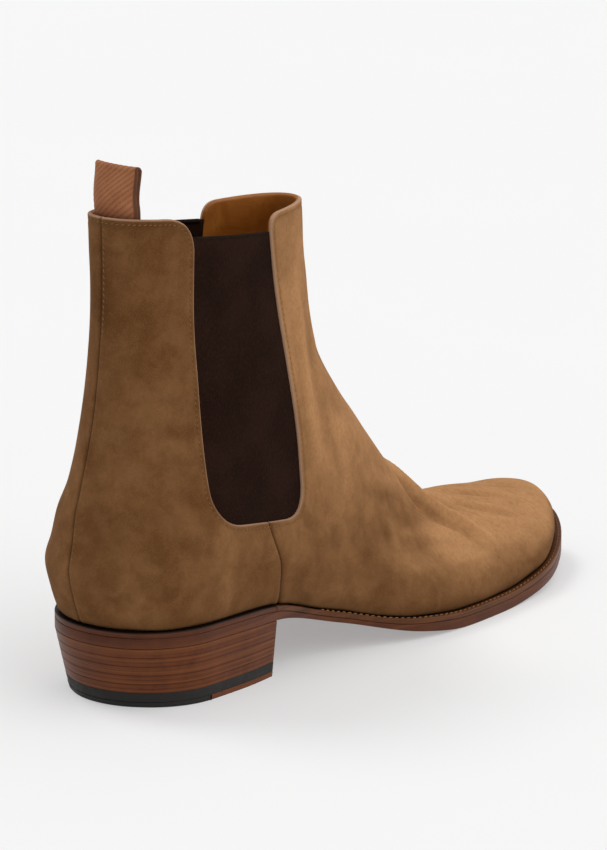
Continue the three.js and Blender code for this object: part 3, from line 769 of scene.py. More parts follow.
def rubber_material():
    look = Shader("heel_rubber", Roughness=0.62, Specular_IOR_Level=0.35)
    dust = look.noise(240, 4, 0.7, 0.5)
    grain = look.noise(1400, 3, 0.65)
    look.wire("Base Color", look.mix(look.spread(dust, 0.45, 0.75, 0, 0.6), "181613", "2c2823"))
    look.wire("Roughness", look.spread(dust, 0.3, 0.8, 0.5, 0.8))
    look.bump(grain, 0.0003, 0.5)
    return look.material


SUEDE = suede_material()
LINING = lining_material()
ELASTIC = elastic_material()
BINDING = binding_material()
TAPE = tape_material()
THREAD = thread_material("upper_thread", "6f4b29", "946a40")
WELT_THREAD = thread_material("welt_thread", "7c5436", "a57a50")
SOLE_LEATHER = leather_material("sole_leather", "421e0e", "5d311a", "704022", 500)
WELT_LEATHER = leather_material("welt_leather", "482811", "60371a", "734627", 500)
HEEL_LEATHER = leather_material("heel_leather", "48210d", "6e391a", "875027", 520)
RUBBER = rubber_material()

# ---- The upper's relief ----

# Each crease is a path of (s, z) on a side of the boot, or (s, out) on the vamp's top: its reach either
# side in millimetres, and its height, below 0 for a trough.
SIDE_CREASES = [
    (1, [(112, 160), (111.5, 143), (110, 130), (109, 118), (107, 106), (108, 96), (113, 84)], 3.4, 0.75),
    (1, [(120, 150), (119, 132), (117, 114), (117, 98), (123, 82)], 4.6, -0.6),
    (1, [(103, 150), (103.5, 126), (102.5, 104), (103, 84)], 2.6, -0.5),
    (-1, [(110, 156), (109, 130), (107, 104), (113, 84)], 4.0, 0.8),
    (-1, [(118, 146), (117, 118), (122, 92)], 5.0, -0.8),
    (1, [(150, 52), (152.5, 46), (151.5, 39)], 2.6, -0.4),
    (1, [(157, 50), (158, 44), (156, 36)], 2.4, 0.4),
    (1, [(143, 66), (156, 60), (168, 57), (178, 55)], 3.2, -0.8),
    (1, [(148, 72), (162, 65), (176, 61)], 3.0, 0.5),
    (1, [(170, 40), (178, 31), (190, 24)], 4.5, -0.7),
    (-1, [(160, 57), (172, 46), (188, 39)], 3.6, 0.45),
    (-1, [(153, 54), (166, 42), (182, 34)], 4.6, -0.5),
    (1, [(20, 118), (32, 112), (41, 113)], 3.4, -0.5),
    (-1, [(20, 116), (31, 110), (40, 112)], 3.4, -0.5),
    (1, [(17, 92), (28, 86), (38, 84)], 4.0, -0.45),
    (-1, [(17, 90), (28, 85), (38, 84)], 4.0, -0.45),
    (1, [(48, 58), (60, 52), (70, 50)], 6.0, -0.5),
    (1, [(119, 133), (127, 127), (134, 124)], 3.0, -0.6),
    (-1, [(119, 131), (127, 126), (134, 124)], 3.0, -0.6),
    (1, [(122, 108), (135, 101), (146, 98)], 3.6, -0.7),
    (-1, [(122, 107), (135, 100), (146, 98)], 3.6, -0.7),
]
TOP_CREASES = [
    ([(186, -8), (190, 2), (194, 11), (200, 17.5), (208, 20), (214, 25), (217, 32), (221, 38)], 2.6, 1.25),
    ([(178, -6), (182, 5), (186, 15), (192, 22), (202, 25.5), (208, 30), (211, 37)], 3.8, -1.35),
    ([(204, -4), (208, 5), (214, 12), (222, 17), (226, 26)], 3.2, -0.7),
    ([(172, -16), (176, -2), (177, 10)], 3.0, -0.4),
    ([(190, -26), (196, -16), (200, -6)], 3.2, -0.4),
    ([(197, -28), (203, -18), (207, -8)], 2.6, 0.25),
    ([(232, -16), (246, -9), (253, 4), (262, 13.5), (274, 21)], 2.4, 0.6),
    ([(236, -8), (246, 1), (254, 10), (264, 17)], 2.2, -0.55),
    ([(222, 2), (230, 9), (240, 18), (252, 25)], 2.3, 0.55),
    ([(226, 14), (236, 21), (248, 27)], 2.2, -0.5),
    ([(222, 26), (234, 29), (246, 31), (264, 33)], 2.2, 0.5),
    ([(240, -18), (256, -12), (270, -2), (280, 8)], 2.2, -0.45),
]
SWELLS = np.random.default_rng(7).uniform(-1, 1, (14, 4))  # long soft waves in the leather
SWELL_LENGTHS = np.linspace(16, 48, 14)
SIDE_RELIEF, TOP_RELIEF = 1.3, 1.9  # scale the creases' heights

STITCH_IN = 2.1  # the stitch rows lie this far in from the suede's edges
BACK_STITCH = 1.4  # and this far off the back seam
EDGE_ROLL = 0.8  # radius of the suede's turned edges
SUEDE_THICK = 1.45  # the suede with its turned edge
TUCK, TUCK_HEIGHT = 0.55, 2.2  # the upper is drawn in by this at the welt, up to this height
SEAM_TOP = 74  # the side seams end here, under the gores


def path_reach(x, y, path, reach):
    """1 on a path, falling off beside it and towards its ends."""
    best = np.zeros(x.shape)
    count = len(path) - 1
    for k, (a, b) in enumerate(zip(path, path[1:])):
        gone2, share = beside(x, y, a, b)
        along = 0.06 + 0.88 * (k + share) / count
        best = np.maximum(best, np.exp(-gone2 / reach**2) * np.sin(np.pi * along) ** 0.7)
    return best


def relief(p, n, cut, seam, back):
    """The suede's height over the last in millimetres, and the creases' share of it."""
    s, out, z = p.T
    creases = np.zeros(len(p))
    sideways = np.abs(n[:, 1]) ** 0.5
    for side, path, reach, rise in SIDE_CREASES:
        near = np.flatnonzero(np.sign(out) == side)
        creases[near] += SIDE_RELIEF * rise * path_reach(s[near], z[near], path, reach) * sideways[near]
    top = smooth(n[:, 2], 0.0, 0.35) * (s > 150)
    for path, reach, rise in TOP_CREASES:
        creases += TOP_RELIEF * rise * path_reach(s, out, path, reach) * top
    height = creases.copy()
    for (a, b, c, phase), size in zip(SWELLS, SWELL_LENGTHS):
        wave = np.array([a, b, c])
        wave = wave / np.linalg.norm(wave) * 2 * np.pi / size
        height += 0.05 * np.sin(p @ wave + 6 * phase)
    height *= smooth(cut, 0, 8)
    height -= 0.2 * bell(cut, STITCH_IN, 0.6)
    height -= 0.75 * bell(seam, 0, 0.8) * (z < SEAM_TOP)
    height += 0.22 * bell(np.abs(seam), 2.6, 1.6) * (z < SEAM_TOP)
    height -= 0.4 * bell(back, 0, 0.45)
    height += 0.2 * bell(np.abs(back), 1.5, 0.9)
    return height, creases


def suede_place(skin):
    """The suede's face, its normals, its height over the featherline, and the creases."""
    p, n = last(skin.v, skin.w), outward(skin.v, skin.w)
    rise, creases = relief(p, n, **skin.values)
    roll = np.clip(EDGE_ROLL - skin.values["cut"], 0, EDGE_ROLL)
    rise -= EDGE_ROLL - np.sqrt(EDGE_ROLL**2 - roll**2)
    low = p[:, 2] - feather(p[:, 0])
    rise -= TUCK * np.clip(1 - low / TUCK_HEIGHT, 0, 1) ** 2
    return p + n * rise[:, None], n, low, creases


def turned_in(skin, faces, table, normals):
    """Adds the turned edges at the cuts and at the sole. table starts with s, out, z and ends with edge."""
    cut, border = skin.values["cut"], skin.border(faces)
    rim = [(i, j) for i, j in border if max(cut[i], cut[j]) < 0.05]
    seat = [(i, j) for i, j in border if max(skin.w[i], skin.w[j]) < 1e-6]
    faces, tables, count = list(faces), [table], len(table)
    for edges, steps in ((rim, [(0.25, 0), (SUEDE_THICK - EDGE_ROLL, 0)]), (seat, [(1.4, -0.35)])):
        ids = sorted({i for edge in edges for i in edge})
        before = {i: i for i in ids}
        for depth, drop in steps:
            ring = table[ids]
            ring[:, :3] -= normals[ids] * depth
            ring[:, 2] += drop
            ring[:, -1] = 0
            tables.append(ring)
            now = {i: count + k for k, i in enumerate(ids)}
            faces += [[before[j], before[i], now[i], now[j]] for i, j in edges]
            before = now
            count += len(ids)
    return np.concatenate(tables), faces


def make_panel(name, skin, faces, table, normals):
    table, faces = used_only(*turned_in(skin, faces, table, normals))
    s, _, z, up, creases, low, edge = table.T
    dark = np.max([
        0.75 * bell(s, seam_s(z), 0.45) * (z < SEAM_TOP),
        0.55 * bell(back_field(table), 0, 0.4),
        0.25 * bell(edge, STITCH_IN, 0.5),
        # painted shade along the foot of the upper, where it meets the welt
        0.7 * smooth(low, 0.9, 0.1),
    ], axis=0)
    # Painted light: pale makes the up-facing vamp and toe paler as if lit from above, crease ridges paler and
    # troughs darker as painted light and shade, and the shaft's front paler than its back, partly the suede's
    # tone and partly painted light; it is also a little paler lower down.
    shaft = smooth(s + 0.35 * (z - 70), 78, 128) * smooth(z, 38, 92)
    pale = 0.6 * shaft + 0.82 * smooth(up, 0.3, 0.92) * smooth(s, 120, 200)
    pale = np.clip(pale, 0, 1) + 0.13 * smooth(z, 150, 70) + 0.24 * np.clip(creases, -1, 1)
    looks = {"low": np.clip(low, 0, 50), "edge": edge, "dark": dark, "pale": pale}
    build("upper_" + name, table[:, :3], faces, SUEDE, ["upper"], looks)


def make_upper():
    skin = Skin(620, 186)
    for level in (0, 0.3, 0.75, 1.4, STITCH_IN):
        stitch_pairs = skin.split("cut", level)
    skin.faces = skin.keep(lambda m: m["cut"] > 0)
    for level in (-0.9, 0, 0.9):
        skin.split("seam", level)
    for level in (-0.8, 0, 0.8):
        skin.split("back", level)
    p, n, low, creases = suede_place(skin)
    table = np.column_stack([p, n[:, 2], creases, low, np.clip(skin.values["cut"], 0, 20)])
    back = skin.values["back"]
    quarters = skin.keep(lambda m: m["seam"] <= 0)
    panels = {
        "vamp": skin.keep(lambda m: m["seam"] > 0),
        "quarter_lateral": [f for f in quarters if sum(back[i] for i in f) > 0],
        "quarter_medial": [f for f in quarters if sum(back[i] for i in f) <= 0],
    }
    for name, faces in panels.items():
        make_panel(name, skin, faces, table, n)
    make_upper_stitches([(p[chain], n[chain]) for chain in chains(stitch_pairs)])


LINING_TURN = 0.9  # the lining's edge turns out to the suede over this


def make_lining():
    skin = Skin(300, 96)
    for level in (0, 0.4, LINING_TURN):
        skin.split("cut", level)
    faces = [f[::-1] for f in skin.keep(lambda m: m["cut"] > 0)]
    turn = np.clip(1 - skin.values["cut"] / LINING_TURN, 0, 1)
    depth = WALL - (WALL - SUEDE_THICK + 0.25) * (1 - np.sqrt(1 - turn**2))
    points, faces = used_only(inside_last(skin.v, skin.w, depth[:, None]), faces)
    build("upper_lining", points, faces, LINING, ["upper"])


# ---- Stitches ----


def stitch_row(points, normals, pitch):
    """Places at an even pitch along a path, with the path's direction and the normal there."""
    run = run_along(points)
    count = max(int(run[-1] / pitch), 1)
    at = (np.arange(count) + 0.5) * run[-1] / count
    place, ahead, behind = [
        np.stack([np.interp(at + shift, run, axis) for axis in points.T], -1) for shift in (0, 0.4, -0.4)
    ]
    nearest = [int(np.argmin(((points - q) ** 2).sum(1))) for q in place]
    return place, unit(ahead - behind), normals[nearest]


def stitch_mesh(rows, length, radius, sink, slant):
    """Stitches as short rounded pieces of thread. Each row has its places, directions and normals."""
    around, rings = 7, 6
    angle = full_turn(around)
    share = np.linspace(-1, 1, rings)
    size = radius * (np.sqrt(np.clip(1 - np.abs(share) ** 3.2, 0, 1)) * 0.94 + 0.06)[:, None]
    arch = ((1 - share**2) * radius * 0.55 - sink)[:, None]
    points, faces = [], []
    for place, way, up in rows:
        way = way * math.cos(slant) + unit(np.cross(way, up)) * math.sin(slant)
        across = unit(np.cross(way, up))
        for o, a, b, c in zip(place, way, across, np.cross(across, way)):
            base = len(points) * rings * around
            thread = (
                o
                + a * (share * length / 2)[:, None, None]
                + b * (size * np.cos(angle))[..., None]
                + c * (size * np.sin(angle) + arch)[..., None]
            )
            points.append(thread.reshape(-1, 3))
            for r in range(rings - 1):
                faces += band(base + r * around, base + (r + 1) * around, around)
            end = base + (rings - 1) * around
            faces.append(tuple(range(base, base + around)))
            faces.append(tuple(range(end + around - 1, end - 1, -1)))
    return np.concatenate(points), faces


def make_upper_stitches(edges):
    """Rows along the suede's edges and one on the lateral side of the back seam."""
    rows = [stitch_row(points, normals, 2.3) for points, normals in edges]
    w = np.linspace(0.012, 0.995, 280)

    def short_of_row(v):
        here = last(v, w)
        return here[:, 1] - back_seam_out(here[:, 2]) < BACK_STITCH

    v = bisect(short_of_row, np.full(w.shape, -0.5), np.full(w.shape, 0.8))
    base, up = last(v, w), outward(v, w)
    keep = base[:, 2] < COLLAR_BACK - STITCH_IN - 0.5
    rows.append(stitch_row(base[keep] + up[keep] * 0.05, up[keep], 2.5))
    points, faces = stitch_mesh(rows, 1.75, 0.27, sink=0.2, slant=0.3)
    build("upper_stitches", points, faces, THREAD, mend=False)


# ---- Elastic gores ----

RIB = 1.25  # from one rib to the next
GORE_UNDER = 2.6  # the elastic runs on behind the suede by this

TABLE = np.meshgrid(np.linspace(0.02, np.pi - 0.02, 160), np.linspace(0, 1, 120))
TABLE_V, TABLE_W = TABLE[0].ravel(), TABLE[1].ravel()
TABLE_P = last(TABLE_V, TABLE_W)


def surface_path(s, z, side, depth):
    """Points at (s, z) on a side, this deep under the last's surface, and their normals."""
    best = np.concatenate([
        ((TABLE_P[:, 0] - a[:, None]) ** 2 + (TABLE_P[:, 2] - b[:, None]) ** 2).argmin(1)
        for a, b in zip(np.array_split(s, 40), np.array_split(z, 40))
    ])
    v, w = TABLE_V[best], TABLE_W[best]
    step = 1e-3
    for _ in range(6):
        here = last(side * v, w)
        by_v = (last(side * (v + step), w) - here) / step
        by_w = (last(side * v, w + step) - here) / step
        ds, dz = s - here[:, 0], z - here[:, 2]
        scale = by_v[:, 0] * by_w[:, 2] - by_w[:, 0] * by_v[:, 2]
        scale = np.where(np.abs(scale) < 1e-3, 1e-3, scale)
        move_v = np.clip((ds * by_w[:, 2] - by_w[:, 0] * dz) / scale, -0.1, 0.1)
        move_w = np.clip((by_v[:, 0] * dz - ds * by_v[:, 2]) / scale, -0.05, 0.05)
        v, w = np.clip(v + move_v, 0.004, np.pi - 0.004), np.clip(w + move_w, 0, 1)
    normal = outward(side * v, w)
    return last(side * v, w) - normal * depth, normal


def make_gore(side, node):
    columns, rows = 201, 71
    u, t = np.meshgrid(np.linspace(0, 1, columns), np.linspace(0, 1, rows))
    u, t = u.ravel(), t.ravel()
    flat_z = GORE_BOTTOM - GORE_UNDER + t * (GORE_TOP - GORE_BOTTOM + GORE_UNDER)
    back, front = gore_edge(flat_z, -1) - GORE_UNDER, gore_edge(flat_z, 1) + GORE_UNDER
    s = back + u * (front - back)
    face, normal = surface_path(s, tilted(flat_z, s), side, SUEDE_THICK - 0.2)
    count = round((GORE_WIDTH_TOP + GORE_WIDTH_BOTTOM) / 2 / RIB)
    rib = 0.11 * np.abs(np.sin(np.pi * u * count)) ** 0.8
    slack = 0.25 * np.sin(np.pi * t) * np.sin(3 * np.pi * u + side) + 0.2 * np.sin(5 * t + 2 * u)
    slack *= 0.5 * np.sin(np.pi * u) * np.sin(np.pi * t) ** 0.5
    outer = face + normal * (rib + slack)[:, None]
    inner = face - normal * (WALL - SUEDE_THICK + 0.1 - slack)[:, None]
    points = np.concatenate([outer, inner])
    build(node + "_elastic", points, thick_sheet(rows, columns), ELASTIC, [node])
    # The woven edge at the top, folded over the elastic's end: rise over its top, and depth.
    fold = [
        (-0.9, SUEDE_THICK - 0.35), (-0.4, SUEDE_THICK - 0.45), (0.1, SUEDE_THICK - 0.35),
        (0.35, SUEDE_THICK + 0.25), (0.1, WALL + 0.05), (-1.5, WALL + 0.15),
    ]
    back, front = gore_edge(GORE_TOP, -1), gore_edge(GORE_TOP, 1)
    s = back + np.linspace(0.035, 0.965, 90) * (front - back)
    points = [surface_path(s, tilted(GORE_TOP + rise, s), side, depth)[0] for rise, depth in fold]
    build(node + "_binding", np.concatenate(points), tube_faces(len(fold), len(s)), BINDING)


# ---- Pull loop ----


TWILL = 2.7  # from one twill line to the next
LOOP_DEPTH = WALL + 1.5 * GAP  # from the last's surface to the loop


def collar_inside(out, z):
    """s of the place inside the back of the collar, at a height and a distance off centre."""
    w = bisect(lambda w: last(0 * w, w)[..., 2] < z, np.full(z.shape, 0.5), np.ones(z.shape))

    def nearer(v):
        return inside_last(v, w, LOOP_DEPTH)[..., 1] < np.abs(out)

    v = bisect(nearer, np.zeros(z.shape), np.full(z.shape, 1.2))
    return inside_last(v, w, LOOP_DEPTH)[..., 0]


def make_pull_loop():
    foot = COLLAR_BACK - LOOP_TUCK
    fold_z = COLLAR_BACK + LOOP_HEIGHT - LOOP_BEND - LOOP_TAPE
    tucked, spread = LOOP_TAPE + GAP, 2 * LOOP_BEND + LOOP_TAPE
    lean = through([(foot, 0), (COLLAR_BACK + 4, 0), (fold_z, LOOP_LEAN)])
    opening = through([(foot, tucked), (COLLAR_BACK, tucked), (fold_z, spread)])
    cup = through([(foot, 1), (COLLAR_BACK, 1), (fold_z, 0.25), (fold_z + spread, 0.1)])
    leg = np.linspace(foot, fold_z, 64)
    wall_s = collar_inside(0 * leg, np.minimum(leg, COLLAR_BACK))
    middle = wall_s + LOOP_TAPE / 2 + lean(leg)
    back = np.stack([middle - (opening(leg) - tucked) / 2, leg], -1)
    front = np.stack([middle + (opening(leg) + tucked) / 2, leg], -1)[::-1]
    angle = np.linspace(np.pi, 0, 14)[1:-1]
    fold_s = (back[-1, 0] + front[0, 0]) / 2
    arc = np.stack([fold_s + spread / 2 * np.cos(angle), fold_z + spread / 2 * np.sin(angle)], -1)
    path = np.concatenate([back, arc, front])
    way = unit(np.gradient(path, axis=0))
    # One row of points across the tape at each point of the path.
    across = np.linspace(-0.5, 0.5, 53) * LOOP_WIDTH
    out, z = np.tile(across, (len(path), 1)), np.tile(path[:, 1:], len(across))
    held = np.minimum(z, COLLAR_BACK)
    bulge = cup(z) * (collar_inside(out, held) - np.interp(held, leg, wall_s))
    # Twill lines climb towards the lateral side on the tape's back face.
    twill = np.abs(np.sin(np.pi * (run_along(path)[:, None] - 1.05 * out) / TWILL)) ** 0.7
    beside_edge = LOOP_WIDTH / 2 - np.abs(out)
    selvedge = smooth(beside_edge, 0.7, 0.4)
    thick = LOOP_TAPE / 2 - 0.1 + 0.2 * np.where(selvedge > 0.5, 0.9, twill)
    thick *= np.sqrt(1 - 0.8 * np.clip(1 - beside_edge / 0.45, 0, 1) ** 2)
    points = [
        np.stack([path[:, :1] + bulge - face * thick * way[:, 1:], out, z + face * thick * way[:, :1]], -1)
        for face in (1, -1)
    ]
    twill = np.where(selvedge > 0.5, 0.8, twill)
    # The edges are darker, and the foot is painted darker as shade where the loop goes into the collar.
    dark = np.maximum(0.8 * selvedge, 0.5 * smooth(z, COLLAR_BACK + 6, COLLAR_BACK - 3))
    looks = {"twill": np.tile(twill.ravel(), 2), "dark": np.tile(dark.ravel(), 2)}
    points, faces = np.reshape(points, (-1, 3)), thick_sheet(*out.shape)
    build("pull_loop_tape", points, faces, TAPE, ["pull_loop"], looks)


# ---- Sole and heel ----

edge_margin = through([
    (0, EDGE_HEEL), (0.26, EDGE_HEEL), (0.42, EDGE_WAIST), (0.6, EDGE_BALL), (0.85, EDGE_BALL), (1, EDGE_TOE),
])


def margin_at(v):
    """How far the sole's edge stands out from the featherline."""
    return edge_margin((1 - np.cos(v)) / 2)


def outline(v, margin):
    """The featherline seen from above, as (s, out), moved outwards by margin."""
    run = unit((last(v + 0.01, 0) - last(v - 0.01, 0))[..., :2])
    p = last(v, 0)
    return np.stack([p[..., 0] - run[..., 1] * margin, p[..., 1] + run[..., 0] * margin], -1)


def sole_edge(v):
    return outline(v, margin_at(v))


def breast_angle(side):
    """v where the sole's edge passes the heel's front face."""
    low, high = np.array([0.2]), np.array([2.0])
    return side * bisect(lambda v: sole_edge(side * v)[:, 0] < HEEL_LENGTH, low, high, 40)[0]


BREAST_LATERAL, BREAST_MEDIAL = breast_angle(1), breast_angle(-1)


def inward(ring, closed=True):
    """Unit vectors into a ring of (s, out) points that runs from the back over the lateral side."""
    run = np.roll(ring, -1, 0) - np.roll(ring, 1, 0) if closed else np.gradient(ring, axis=0)
    run = unit(run)
    return np.stack([run[:, 1], -run[:, 0]], -1)


def loft(name, rings, material, node, layer=None):
    """Rings of (s, out, z) points joined from first to last, closed over at both ends."""
    count, faces = len(rings[0]), []
    for k in range(len(rings) - 1):
        faces += band(k * count, (k + 1) * count, count)
    for start in (0, (len(rings) - 1) * count):
        for i in range(count // 2):
            four = [start + k for k in (i, i + 1, (count - i - 1) % count, (count - i) % count)]
            four = list(dict.fromkeys(four))
            if len(four) > 2:
                faces.append(four)
    looks = None if layer is None else {"layer": np.repeat(layer, count)}
    build(name, np.concatenate(rings), faces, material, [node], looks)


def slab(name, ring, profile, top, bottom, material, node):
    """A piece with a ring outline. profile has (inset, share of the height from the top, rise)."""
    into, rings = inward(ring), []
    for inset, share, rise in profile:
        at = ring + into * inset
        z = top(at[:, 0]) * (1 - share) + bottom(at[:, 0]) * share + rise
        rings.append(np.column_stack([at, z]))
    loft(name, rings, material, node)


def welt_top(s):
    return feather(s) - GAP


def strip(name, v, profile, material, node, shade_drop=0.0):
    """A strip swept along the sole's edge. profile is a closed ring of (inset, rise from the top)."""
    ring, margin = sole_edge(v), margin_at(v)
    into = inward(ring, closed=False)
    points, painted_shades = [], []
    for inset, rise in profile:
        at = ring + into * inset
        points.append(np.column_stack([at, welt_top(at[:, 0]) + rise]))
        # Painted shade: with a drop given, the strip's top is painted dark down to it, as the shadow under
        # the upper.
        rand_top_shade = smooth(rise, -shade_drop - 0.15, -shade_drop + 0.15) * (shade_drop > 0)
        # Painted shade: the top face darkens towards the upper that stands on it.
        painted_shades.append(np.maximum(0.85 * smooth(inset - margin, -0.7, -0.1), rand_top_shade))
    faces, looks = tube_faces(len(profile), len(v)), {"dark": np.concatenate(painted_shades)}
    build(name, np.concatenate(points), faces, material, [node], looks)


def round_edge(radius, steps=4):
    """(inset, drop) pairs round a quarter circle, from the flat face down to the side."""
    angle = np.linspace(0, np.pi / 2, steps)
    return [(radius * (1 - math.sin(a)), radius * (1 - math.cos(a))) for a in angle]


def strip_profile(radius, inside):
    """A strip's cross-section as (inset, rise) pairs with rounded outer edges."""
    thick = WELT + GAP - 0.04
    shelf = [(inset, 0) for inset in (inside, 3.4, 3.0, 2.6, 2.2, 1.8, 1.4, 1.0)]
    top = [(inset, -drop) for inset, drop in round_edge(radius)]
    side = [(0, -share * thick) for share in (0.35, 0.45, 0.55, 0.65)]
    under = [(inset, drop - thick) for inset, drop in reversed(round_edge(radius))]
    return shelf + top + side + under + [(inside, -thick)]


RAND_SHADE = 0.45  # the rand's top is painted dark down to here, a painted shade under the upper


def make_sole():
    front = np.linspace(BREAST_LATERAL, 2 * np.pi + BREAST_MEDIAL, 420)
    rear = np.linspace(BREAST_MEDIAL, BREAST_LATERAL, 220)
    strip("welt_strip", front, strip_profile(0.5, WELT_INSIDE + EDGE_WAIST), WELT_LEATHER, "welt")
    rand = strip_profile(0.4, WELT_INSIDE + EDGE_HEEL)
    strip("heel_rand_strip", rear, rand, SOLE_LEATHER, "heel_rand", RAND_SHADE)

    ring, soft = sole_edge(full_turn(480)), round_edge(0.45)
    profile = [(12, 0, 0), (4, 0, 0)] + [(inset, 0, -drop) for inset, drop in soft]
    profile += [(inset, 1, drop) for inset, drop in reversed(soft)]
    profile += [(4.2, 1, 0), (4.5, 1, 0.3), (4.9, 1, 0.3), (5.2, 1, 0), (12, 1, 0)]
    slab("outsole_leather", ring, profile, outsole_top, sole_height, SOLE_LEATHER, "outsole")

    # Welt stitches round the forefoot, in the strip of welt outside the upper.
    seen = front[(1 - np.cos(front)) / 2 > 0.36]
    path = outline(seen, margin_at(seen) * 0.56)
    path = np.column_stack([path, welt_top(path[:, 0]) + 0.06])
    row = stitch_row(path, np.tile([0.0, 0.0, 1.0], (len(path), 1)), 3.0)
    points, faces = stitch_mesh([row], 2.2, 0.27, sink=0.05, slant=0.12)
    build("welt_stitches", points, faces, WELT_THREAD, mend=False)


def heel_ring(share):
    """The heel's D outline at a share of its height down from the outsole."""
    lateral = sole_edge(np.linspace(0, BREAST_LATERAL, 90))
    medial = sole_edge(np.linspace(BREAST_MEDIAL, 0, 90))[:-1]
    fall = np.linspace(0, 1, 26)[1:-1][:, None]
    face = lateral[-1] * (1 - fall) + medial[0] * fall
    face[:, 0] -= 1.2 * np.sin(np.pi * fall[:, 0])  # the heel's front face is a little hollow
    s, out = np.concatenate([lateral, face, medial]).T
    s = s + HEEL_TAPER_BACK * share * (1 - s / HEEL_LENGTH)
    out = out - np.sign(out) * HEEL_TAPER_SIDE * share * np.minimum(1, np.abs(out) / 20)
    return np.column_stack([s, out])


def heel_rings(share_top, share_bottom, top, bottom, radius, side=()):
    """Rings of a heel piece from its top face round its edge to its bottom face."""
    steps, rings = round_edge(radius), []
    for share, face, sign, turn in ((share_top, top, -1, steps), (share_bottom, bottom, 1, steps[::-1])):
        ring = heel_ring(share)
        into = inward(ring)
        for inset, drop in turn:
            at = ring + into * inset
            rings.append(np.column_stack([at, face(at[:, 0]) + sign * drop]))
    half = len(steps)
    upper, lower = rings[half - 1], rings[half]
    return rings[:half] + [upper + (lower - upper) * share for share in side] + rings[half:]


SOLE_GAP, LAYER_GAP = 0.04, 0.02  # hairlines over the first lift, and over every layer under it
LIFT_SHARE = (HEEL_HEIGHT - TOP_PIECE) / LIFTS / HEEL_HEIGHT


def lift_face(s, number):
    """Height of the top face of a lift, number 0 being the one under the outsole."""
    top = sole_height(s) - SOLE_GAP
    return top - number * (top - TOP_PIECE) / LIFTS


def level_face(z):
    return lambda s: 0 * s + z


def make_heel():
    # Each lift shows two layers: a fine line halfway down, and dark edges.
    side = np.linspace(0, 1, 15)[1:-1]
    layer = 0.75 * bell(side, 0.5, 0.12) + 0.9 * bell(np.minimum(side, 1 - side), 0, 0.1)
    layer = np.pad(layer, len(round_edge(1)), constant_values=1.0)
    for number in range(LIFTS):
        rings = heel_rings(
            number * LIFT_SHARE,
            (number + 1) * LIFT_SHARE,
            lambda s: lift_face(s, number) - (LAYER_GAP if number else 0),
            lambda s: lift_face(s, number + 1),
            0.12,
            side,
        )
        node = f"heel_lift_{number + 1}"
        loft(node + "_leather", rings, HEEL_LEATHER, node, layer * (1 if number else 0.4))
    # The rubber top piece is whole over the tip, and its lower part stops where the leather starts.
    tip, tip_share = HEEL_LENGTH - TIP_LENGTH, 1 - TIP_DEPTH / HEEL_HEIGHT
    faces = level_face(TOP_PIECE - LAYER_GAP), level_face(TIP_DEPTH)
    rings = heel_rings(1 - TOP_PIECE / HEEL_HEIGHT, tip_share, *faces, 0.2)
    loft("top_piece_upper", rings, RUBBER, "top_piece_rubber")
    lower = np.array(heel_rings(tip_share, 1, level_face(TIP_DEPTH - LAYER_GAP), level_face(0), 0.3))
    front = lower.copy()
    lower[..., 0] = np.minimum(lower[..., 0], tip)
    front[..., 0] = np.maximum(front[..., 0], tip + 0.15)
    loft("top_piece_lower", lower, RUBBER, "top_piece_rubber")
    loft("top_piece_tip", front, HEEL_LEATHER, "top_piece_leather")


def make_insole():
    ring = outline(full_turn(300), -WALL - GAP - 0.3)
    profile = [
        (16, 0, 0.15), (8, 0, 0.1), (3, 0, 0.25), (0.9, 0, 0.1), (0.2, 0, -0.35), (0, 0, -0.8),
        (0, 1, 0), (12, 1, 0),
    ]
    slab("insole_sock", ring, profile, lambda s: feather(s) + INSOLE, feather, LINING, "insole")


# ---- Floor and light ----


FLOOR_REACH = 9.0
PAPER = (0.575, 0.575, 0.575, 1), (0.58, 0.58, 0.58, 1)
WORLD_STRENGTH = 0.4
BACKDROP = 0.92
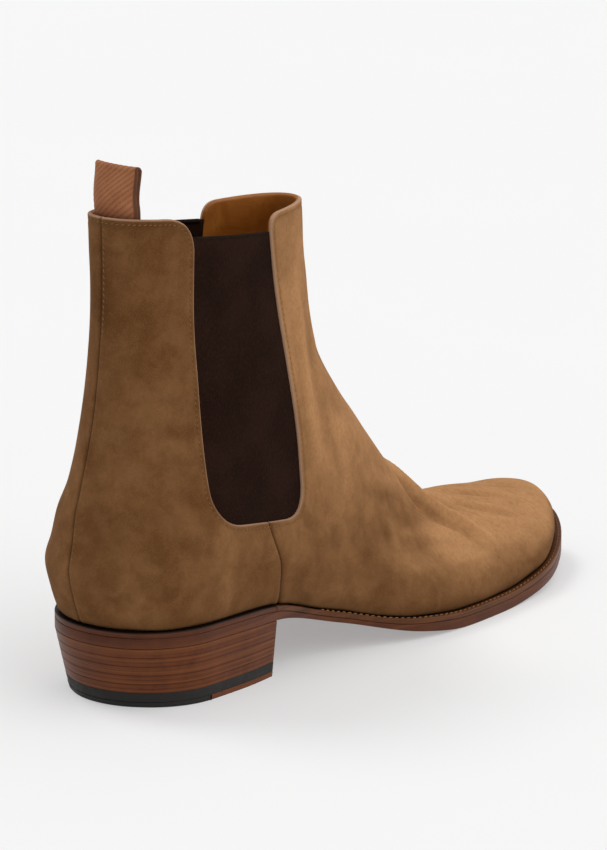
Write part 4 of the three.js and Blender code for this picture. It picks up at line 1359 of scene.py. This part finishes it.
# name, azimuth, elevation and angular size in degrees, strength
LIGHTS = [
    ("key", 325, 50, 100, 1.15),
    ("fill", 285, 35, 90, 0.62),
    ("side", 95, 60, 22, 0.9),
]


def make_stage():
    mesh = bpy.data.meshes.new("floor")
    ends = (-FLOOR_REACH, FLOOR_REACH)
    mesh.from_pydata([(x, y, 0.0) for y in ends for x in ends], [], [(0, 1, 3, 2)])
    look = Shader("floor_paper", Roughness=0.9, Specular_IOR_Level=0.0,
                  Emission_Color=(1.0, 1.0, 1.0, 1), Emission_Strength=0.33)
    grain = look.noise(6, 2, 0.5)
    look.wire("Base Color", look.mix(look.spread(grain, 0.3, 0.7), *PAPER))
    mesh.materials.append(look.material)
    floor = bpy.data.objects.new("floor", mesh)
    bpy.context.scene.collection.objects.link(floor)

    world_light = bpy.data.worlds.new("studio")
    world_light.use_nodes = True
    # The studio behind the floor looks as pale as the floor, and lights the boot less than it shows.
    tree = world_light.node_tree
    lit, shown = tree.nodes["Background"], tree.nodes.new("ShaderNodeBackground")
    for background, strength in ((lit, WORLD_STRENGTH), (shown, BACKDROP)):
        background.inputs["Color"].default_value = (1.0, 1.0, 1.0, 1)
        background.inputs["Strength"].default_value = strength
    choose, rays = tree.nodes.new("ShaderNodeMixShader"), tree.nodes.new("ShaderNodeLightPath")
    tree.links.new(rays.outputs["Is Camera Ray"], choose.inputs[0])
    tree.links.new(lit.outputs[0], choose.inputs[1])
    tree.links.new(shown.outputs[0], choose.inputs[2])
    tree.links.new(choose.outputs[0], tree.nodes["World Output"].inputs["Surface"])
    bpy.context.scene.world = world_light
    for name, azimuth, elevation, width, power in LIGHTS:
        data = bpy.data.lights.new(name, "SUN")
        data.angle = math.radians(width)
        data.energy = power
        light = bpy.data.objects.new(name, data)
        toward = from_angle(math.radians(azimuth), math.radians(elevation))
        light.location = toward * 3
        light.rotation_euler = toward.to_track_quat("Z", "Y").to_euler()
        bpy.context.scene.collection.objects.link(light)


bpy.context.scene.view_settings.view_transform = "Standard"

make_upper()
make_lining()
make_gore(1, "gore_lateral")
make_gore(-1, "gore_medial")
make_pull_loop()
make_insole()
make_sole()
make_heel()
make_stage()
